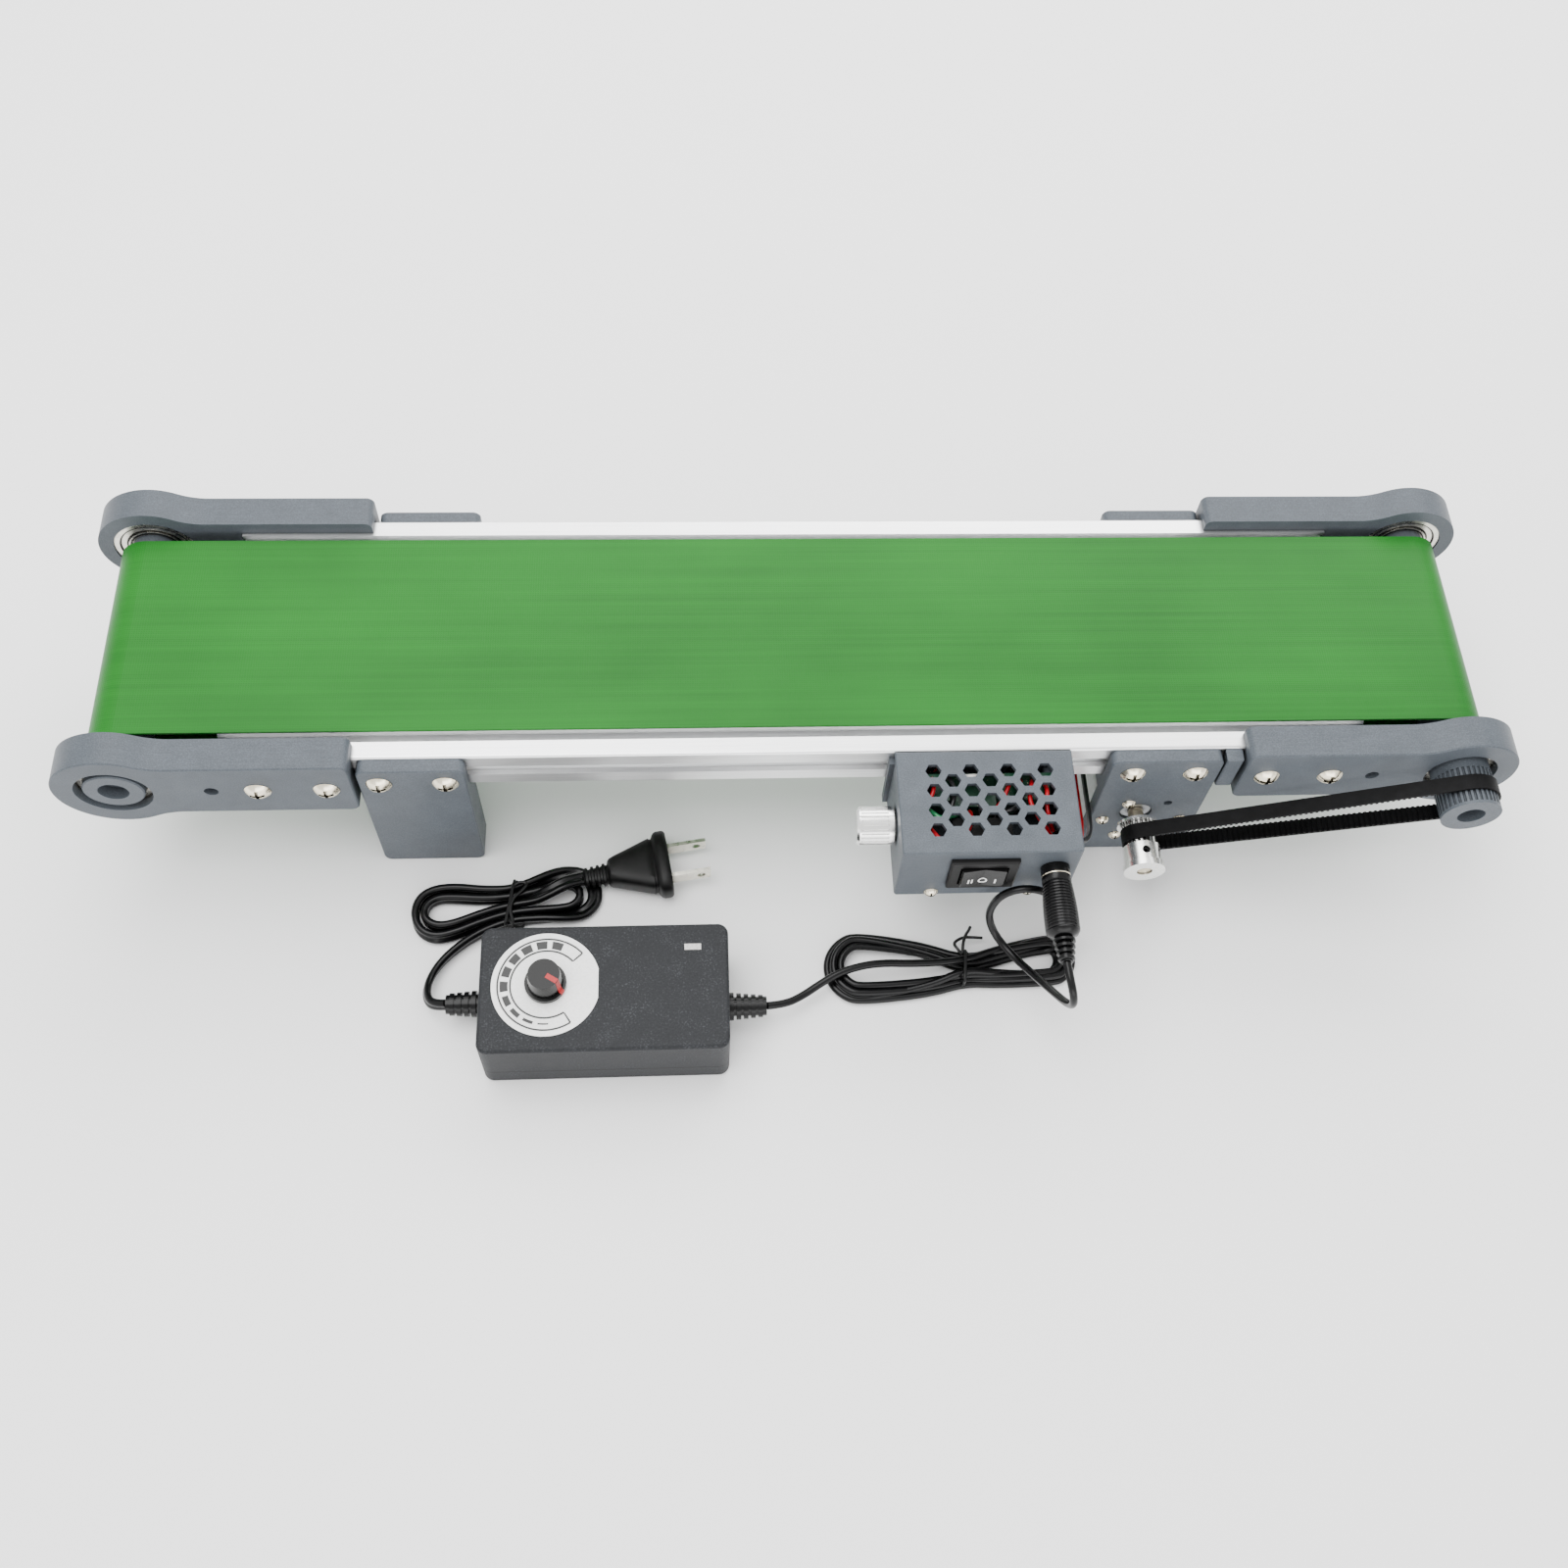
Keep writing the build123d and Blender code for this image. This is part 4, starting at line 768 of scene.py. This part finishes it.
ac_line = line_of([point(*p[:3]) for p in AC_ROUTE])
bm = bmesh.new()
swept(bm, ac_line, twin_section(), mains_lean)
ac_cord = piece("mains_cord", bm, CORD, ROOT)
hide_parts("ac_cord_lead", "ac_cord_hank")
ac_tie = twist_tie(
    "mains_cord_tie", -113.0, -80.5, 9.2, 7.4, 0.15,
    (
        ((-113.4, -87.0, 6.0), (-112.4, -89.4, 6.4), (-110.4, -90.6, 5.0), (-108.2, -90.0, 3.4),
         (-107.8, -88.8, 3.0)),
        ((-112.6, -74.0, 6.6), (-110.6, -72.6, 7.2), (-108.2, -72.4, 7.4), (-106.6, -73.6, 7.4),
         (-109.0, -76.6, 7.6), (-112.2, -79.6, 7.8), (-113.2, -84.6, 7.4), (-111.4, -88.8, 6.0),
         (-112.2, -91.4, 4.6)),
    ),
)


# ---- mains plug: flat grip widening to a rounded flange, with a ribbed relief ----
PLUG_FACE = (-51.5, -65.6, 7.3)
PLUG_TURN = 9.0


def rounded(half_width, half_height, power, steps=40):
    """A closed section between an ellipse, at power 2, and a rectangle, at high powers."""
    def eased(value):
        return abs(value) ** (2 / power) * (1 if value > 0 else -1)

    return [(half_width * eased(cos(t)), half_height * eased(sin(t))) for t in full_turn(steps)]


def mains_plug():
    """Stations of (along, half width, half height, middle height, squareness), face at 0."""
    stations = [(-34.0, 2.6, 1.6, -1.0, 2.6), (-33.8, 3.3, 2.3, -1.0, 2.6)]
    for rib in range(4):
        start = -33.4 + 2.3 * rib
        grow = 0.22 * rib
        groove = (3.0 + grow, 2.1 + grow / 2, -1.0, 2.8)
        crest = (3.9 + grow, 2.7 + grow / 2, -1.0, 2.8)
        stations += [
            (start, *groove), (start + 0.3, *crest), (start + 1.2, *crest), (start + 1.5, *groove),
        ]
    stations += [
        (-24.4, 3.8, 2.6, -0.9, 2.8), (-24.0, 4.9, 4.2, -0.5, 2.8), (-23.2, 5.4, 5.0, -0.2, 3.0),
        (-21.0, 6.2, 5.3, 0.0, 3.2), (-17.0, 7.5, 5.4, 0.0, 3.6), (-13.0, 8.9, 5.4, 0.0, 4.0),
        (-9.0, 10.4, 5.4, 0.0, 4.2), (-6.9, 11.1, 5.4, 0.0, 4.2), (-6.5, 10.7, 5.1, 0.0, 4.2),
        (-5.9, 10.7, 5.1, 0.0, 4.2), (-5.3, 12.0, 6.1, 0.0, 3.6), (-4.6, 13.0, 6.8, 0.0, 3.4),
        (-3.6, 13.45, 7.15, 0.0, 3.4), (-1.4, 13.45, 7.15, 0.0, 3.4),
        (-0.5, 13.2, 6.9, 0.0, 3.4), (0.0, 12.5, 6.3, 0.0, 3.4),
    ]
    turn = Matrix.Rotation(radians(PLUG_TURN), 3, "Z")
    face = point(*PLUG_FACE)
    bm = bmesh.new()
    loops = []
    for along, half_width, half_height, middle_up, power in stations:
        section = rounded(half_width, half_height, power)
        ring = [Vector((along, y, z + middle_up)) for y, z in section]
        loops.append(add_loop(bm, [face + turn @ place * MM for place in ring]))
    skin(bm, loops)
    made = piece("mains_plug", bm, PLUG, ROOT)
    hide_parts("ac_plug")
    return made


mains_plug_piece = mains_plug()
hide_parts("cord_ties")
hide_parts("cord_ties")


# ---- motor leads ----
LEAD_RADIUS = 1.0
MOTOR_LEADS = (("motor_lead_red", -1.4, RED_WIRE), ("motor_lead_black", 1.4, BLACK_WIRE))


def lead_points(shift):
    """From the box along under the rail to the motor; shift keeps the two leads apart."""
    return [point(*p) for p in (
        (93.6, -78.0, 46.0 + shift), (103.6, -78.0, 45.0 + shift),
        (107.6 + shift, -74.0, 39.0 + shift), (111.4 + shift, -64.0, 31.0 + shift),
        (111.4 + shift, -48.0, 30.0 + shift), (111.8 + shift, -26.0, 29.0 + shift),
        (111.4 + shift, -4.0, 29.5 + shift), (115.4 + shift, 9.5, 28.0 + shift),
        (125.9 + 3 * shift, 11.0 - shift, 27.3 + shift),
    )]


for name, shift, jacket in MOTOR_LEADS:
    places = lead_points(shift)
    lead = cord_piece(name, places, LEAD_RADIUS * MM, jacket)
    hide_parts("motor_leads")
    line = line_of(places)

# ---- wires seen through the control box's holes ----
BOX_WIRE_RADIUS = 0.85
BOX_WIRES = (
    ("red", RED_WIRE, (
        ((42.5, -75.5, 66.0), (45.0, -71.0, 70.0), (46.8, -66.0, 70.6), (46.4, -61.5, 69.0),
         (46.0, -58.8, 64.0)),
        ((43.0, -79.0, 66.0), (45.2, -84.4, 69.8), (48.0, -88.6, 69.6), (54.0, -89.4, 69.8),
         (58.0, -84.0, 70.2), (60.0, -77.0, 69.0), (60.0, -73.4, 64.0)),
        ((84.0, -62.0, 66.0), (83.0, -66.0, 70.4), (81.0, -72.0, 70.8), (84.0, -79.0, 70.2),
         (88.0, -83.6, 67.0), (90.0, -85.0, 63.0)),
        ((88.0, -62.0, 66.0), (88.8, -67.0, 70.8), (87.4, -74.0, 70.6), (88.4, -79.6, 68.0),
         (91.0, -83.0, 62.0)),
        ((80.0, -62.0, 66.0), (76.0, -62.4, 70.4), (73.4, -68.0, 70.6), (71.0, -73.0, 68.0),
         (67.0, -73.6, 62.0)),
    )),
    ("black", BLACK_WIRE, (
        ((86.0, -62.0, 66.0), (79.6, -66.4, 69.0), (77.6, -74.0, 69.4), (72.0, -77.0, 69.6),
         (64.0, -73.6, 66.0)),
        ((52.0, -60.0, 68.0), (55.0, -66.0, 70.2), (52.6, -74.0, 70.0), (50.0, -79.0, 68.0),
         (43.4, -76.0, 62.0)),
    )),
    ("green", TERMINAL_GREEN, (
        ((43.0, -72.0, 66.0), (45.2, -76.4, 70.0), (48.4, -79.4, 70.2), (54.0, -77.0, 69.0),
         (57.6, -73.0, 64.0)),
    )),
    ("white", WHITE_WIRE, (
        ((57.0, -60.2, 67.0), (60.4, -62.0, 70.6), (64.0, -61.4, 69.6), (66.4, -59.4, 66.0)),
    )),
)
for name, jacket, runs in BOX_WIRES:
    bm = bmesh.new()
    for run in runs:
        swept(bm, line_of([point(*p) for p in run]), round_section(BOX_WIRE_RADIUS))
    piece("box_wires_" + name, bm, jacket, ROOT)


# ---- dial markings, pointer, rocker marks ----
def plate_shape(bm, outline, low, high):
    """A flat shape of (x, y) points in metres, between two heights."""
    skin(bm, [add_loop(bm, [(x, y, height) for x, y in outline]) for height in (low, high)])


def arc_outline(centre, inner, outer, start, stop, steps):
    """Between two radii in millimetres and two angles in degrees, as (x, y) in metres."""
    turns = [radians(start + (stop - start) * i / steps) for i in range(steps + 1)]
    edge = [(outer, t) for t in turns] + [(inner, t) for t in reversed(turns)]
    return [(centre.x + r * MM * cos(t), centre.y + r * MM * sin(t)) for r, t in edge]


DIAL_START = 42
DIAL_STOP = 302
MARK_COUNT = 10
MARK_RADIUS = 15.2
MARK_START = 268
MARK_STEP = 21.4
MARK_HALF_ANGLE = 7.2


def dial_marks():
    """Two arcs closed at their ends, with marks between them that grow round the dial."""
    centre = middle("adapter_knob")
    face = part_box("adapter_dial")[1].z
    bm = bmesh.new()

    def arc(inner, outer, start, stop, steps):
        outline = arc_outline(centre, inner, outer, start, stop, steps)
        plate_shape(bm, outline, face - 0.01 * MM, face + 0.14 * MM)

    arc(17.2, 17.8, DIAL_START, DIAL_STOP, 90)
    arc(12.6, 13.2, DIAL_START, DIAL_STOP, 80)
    for angle in (DIAL_START, DIAL_STOP):
        arc(13.1, 17.4, angle - 1.0, angle + 1.0, 2)
    for i in range(MARK_COUNT):
        angle = MARK_START - i * MARK_STEP
        half = min(1.45, 0.24 + 0.3 * i)
        arc(MARK_RADIUS - half, MARK_RADIUS + half,
            angle - MARK_HALF_ANGLE, angle + MARK_HALF_ANGLE, 6)
    return piece("dial_marks", bm, BLACK_INK, ROOT, smooth=False)


POINTER_ANGLE = radians(-32)
POINTER_HALF_WIDTH = 0.95


def knob_pointer():
    """Red line down the knob's side and a little way over its top."""
    centre = middle("adapter_knob")
    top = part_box("adapter_knob")[1].z
    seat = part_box("adapter_dial")[1].z
    profile = [
        (7.66, seat + 0.6 * MM), (7.66, seat + 2.3 * MM), (6.75, seat + 2.4 * MM),
        (6.62, seat + 3.0 * MM), (5.86, top - 0.3 * MM), (5.6, top + 0.06 * MM),
        (1.2, top + 0.06 * MM),
    ]
    along = Vector((cos(POINTER_ANGLE), sin(POINTER_ANGLE), 0))
    across = Vector((-sin(POINTER_ANGLE), cos(POINTER_ANGLE), 0)) * POINTER_HALF_WIDTH * MM
    bm = bmesh.new()
    loops = []
    for radius, height in profile:
        axis = Vector((centre.x, centre.y, height))
        place = axis + along * radius * MM
        sunk = axis + along * (radius - 0.25) * MM - Vector((0, 0, 0.12 * MM))
        loops.append(add_loop(bm, (place - across, place + across, sunk + across, sunk - across)))
    skin(bm, loops)
    return piece("knob_pointer", bm, RED_PAINT, "adapter_knob_body", smooth=False)


# the rocker's face stands out least at its middle and more towards its two ends
ROCKER_OUT = 2.5
ROCKER_RISE = 1.1
ROCKER_HALF = 8.6
ROCKER_MARK_DROP = 2.2
BAR_PLACES = (-5.2, -3.9, 4.6)
BAR_HALF_WIDTH = 0.3
BAR_HALF_HEIGHT = 1.6
RING_RADII = (1.15, 1.7)
RING_HEIGHT = 1.15
MARK_RISES = (-0.05, 0.06)


def rocker_marks():
    """The generic marks for its three places, low on the rocker's shallow V."""
    centre = middle("switch_rocker")
    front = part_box("control_box")[0].y
    bm = bmesh.new()

    def loop(outline, rise):
        corners = []
        for across, up in outline:
            out = ROCKER_OUT + ROCKER_RISE * abs(across) / ROCKER_HALF + rise
            height = centre.z + (up - ROCKER_MARK_DROP) * MM
            corners.append((centre.x + across * MM, front - out * MM, height))
        return add_loop(bm, corners)

    for bar in BAR_PLACES:
        left, right = bar - BAR_HALF_WIDTH, bar + BAR_HALF_WIDTH
        outline = ((left, -BAR_HALF_HEIGHT), (right, -BAR_HALF_HEIGHT),
                   (right, BAR_HALF_HEIGHT), (left, BAR_HALF_HEIGHT))
        skin(bm, [loop(outline, rise) for rise in MARK_RISES])
    inner, outer = RING_RADII
    sunk, raised = MARK_RISES
    rings = []
    for radius, rise in ((inner, sunk), (inner, raised), (outer, raised), (outer, sunk)):
        outline = [(radius * cos(t), RING_HEIGHT * radius * sin(t)) for t in full_turn(28)]
        rings.append(loop(outline, rise))
    skin(bm, rings + rings[:1], capped=False)
    return piece("rocker_marks", bm, WHITE_INK, "switch_rocker_body", smooth=False)


dial_marks()
knob_pointer()
rocker_marks()


# ---- floor, light, camera ----
# in metres
FLOOR_HALF = 3.0
FLOOR_GAP = 0.0002
LIGHT_TARGET = Vector((0, 0, 0.03))


def studio():
    """A plain pale floor just under the object, in even white light."""
    bm = bmesh.new()
    low = cad_low.z - FLOOR_GAP
    corners = ((-1, -1), (1, -1), (1, 1), (-1, 1))
    bm.faces.new(add_loop(bm, [(x * FLOOR_HALF, y * FLOOR_HALF, low) for x, y in corners]))
    mesh = bpy.data.meshes.new("floor")
    bm.to_mesh(mesh)
    bm.free()
    look = Look("floor_paper", (0.93, 0.93, 0.93), 0.75)
    cloud = look.noise(400.0)
    look.color(look.tint(cloud, (0.3, (0.92, 0.92, 0.92)), (0.7, (0.945, 0.945, 0.945))))
    mesh.materials.append(look.material)
    placed("floor", mesh)
    world = bpy.data.worlds.new("studio")
    bpy.context.scene.world = world
    world.use_nodes = True
    background = world.node_tree.nodes["Background"]
    background.inputs["Color"].default_value = (1.0, 1.0, 1.0, 1.0)
    background.inputs["Strength"].default_value = 1.5


def soft_light(name, place, size, power):
    data = bpy.data.lights.new(name, "AREA")
    data.shape = "RECTANGLE"
    data.size, data.size_y = size
    data.energy = power
    made = placed(name, data)
    made.location = place
    made.rotation_euler = (LIGHT_TARGET - Vector(place)).to_track_quat("-Z", "Y").to_euler()


def camera():
    """The view from the front, above and a little left."""
    data = bpy.data.cameras.new("camera")
    data.sensor_width = 36.0
    data.lens = 39.15
    data.shift_x = -0.0206
    data.shift_y = -0.0446
    data.clip_start = 0.01
    data.clip_end = 20.0
    right = Vector((0.997341, -0.045695, 0.056765))
    down = Vector((-0.011077, -0.864985, -0.501675))
    ahead = Vector((0.072025, 0.499713, -0.863192))
    turn = Matrix((right, -down, -ahead)).transposed()
    made = placed("camera", data)
    made.matrix_world = Matrix.Translation(point(-41.4, -354.06, 622.2)) @ turn.to_4x4()
    bpy.context.scene.camera = made


studio()
soft_light("key", (-0.4, 0.1, 1.5), (1.4, 1.0), 27.0)
soft_light("back", (0.3, 1.0, 0.9), (1.6, 0.7), 20.0)
soft_light("front", (0.2, -1.4, 0.35), (1.6, 0.6), 11.0)
camera()
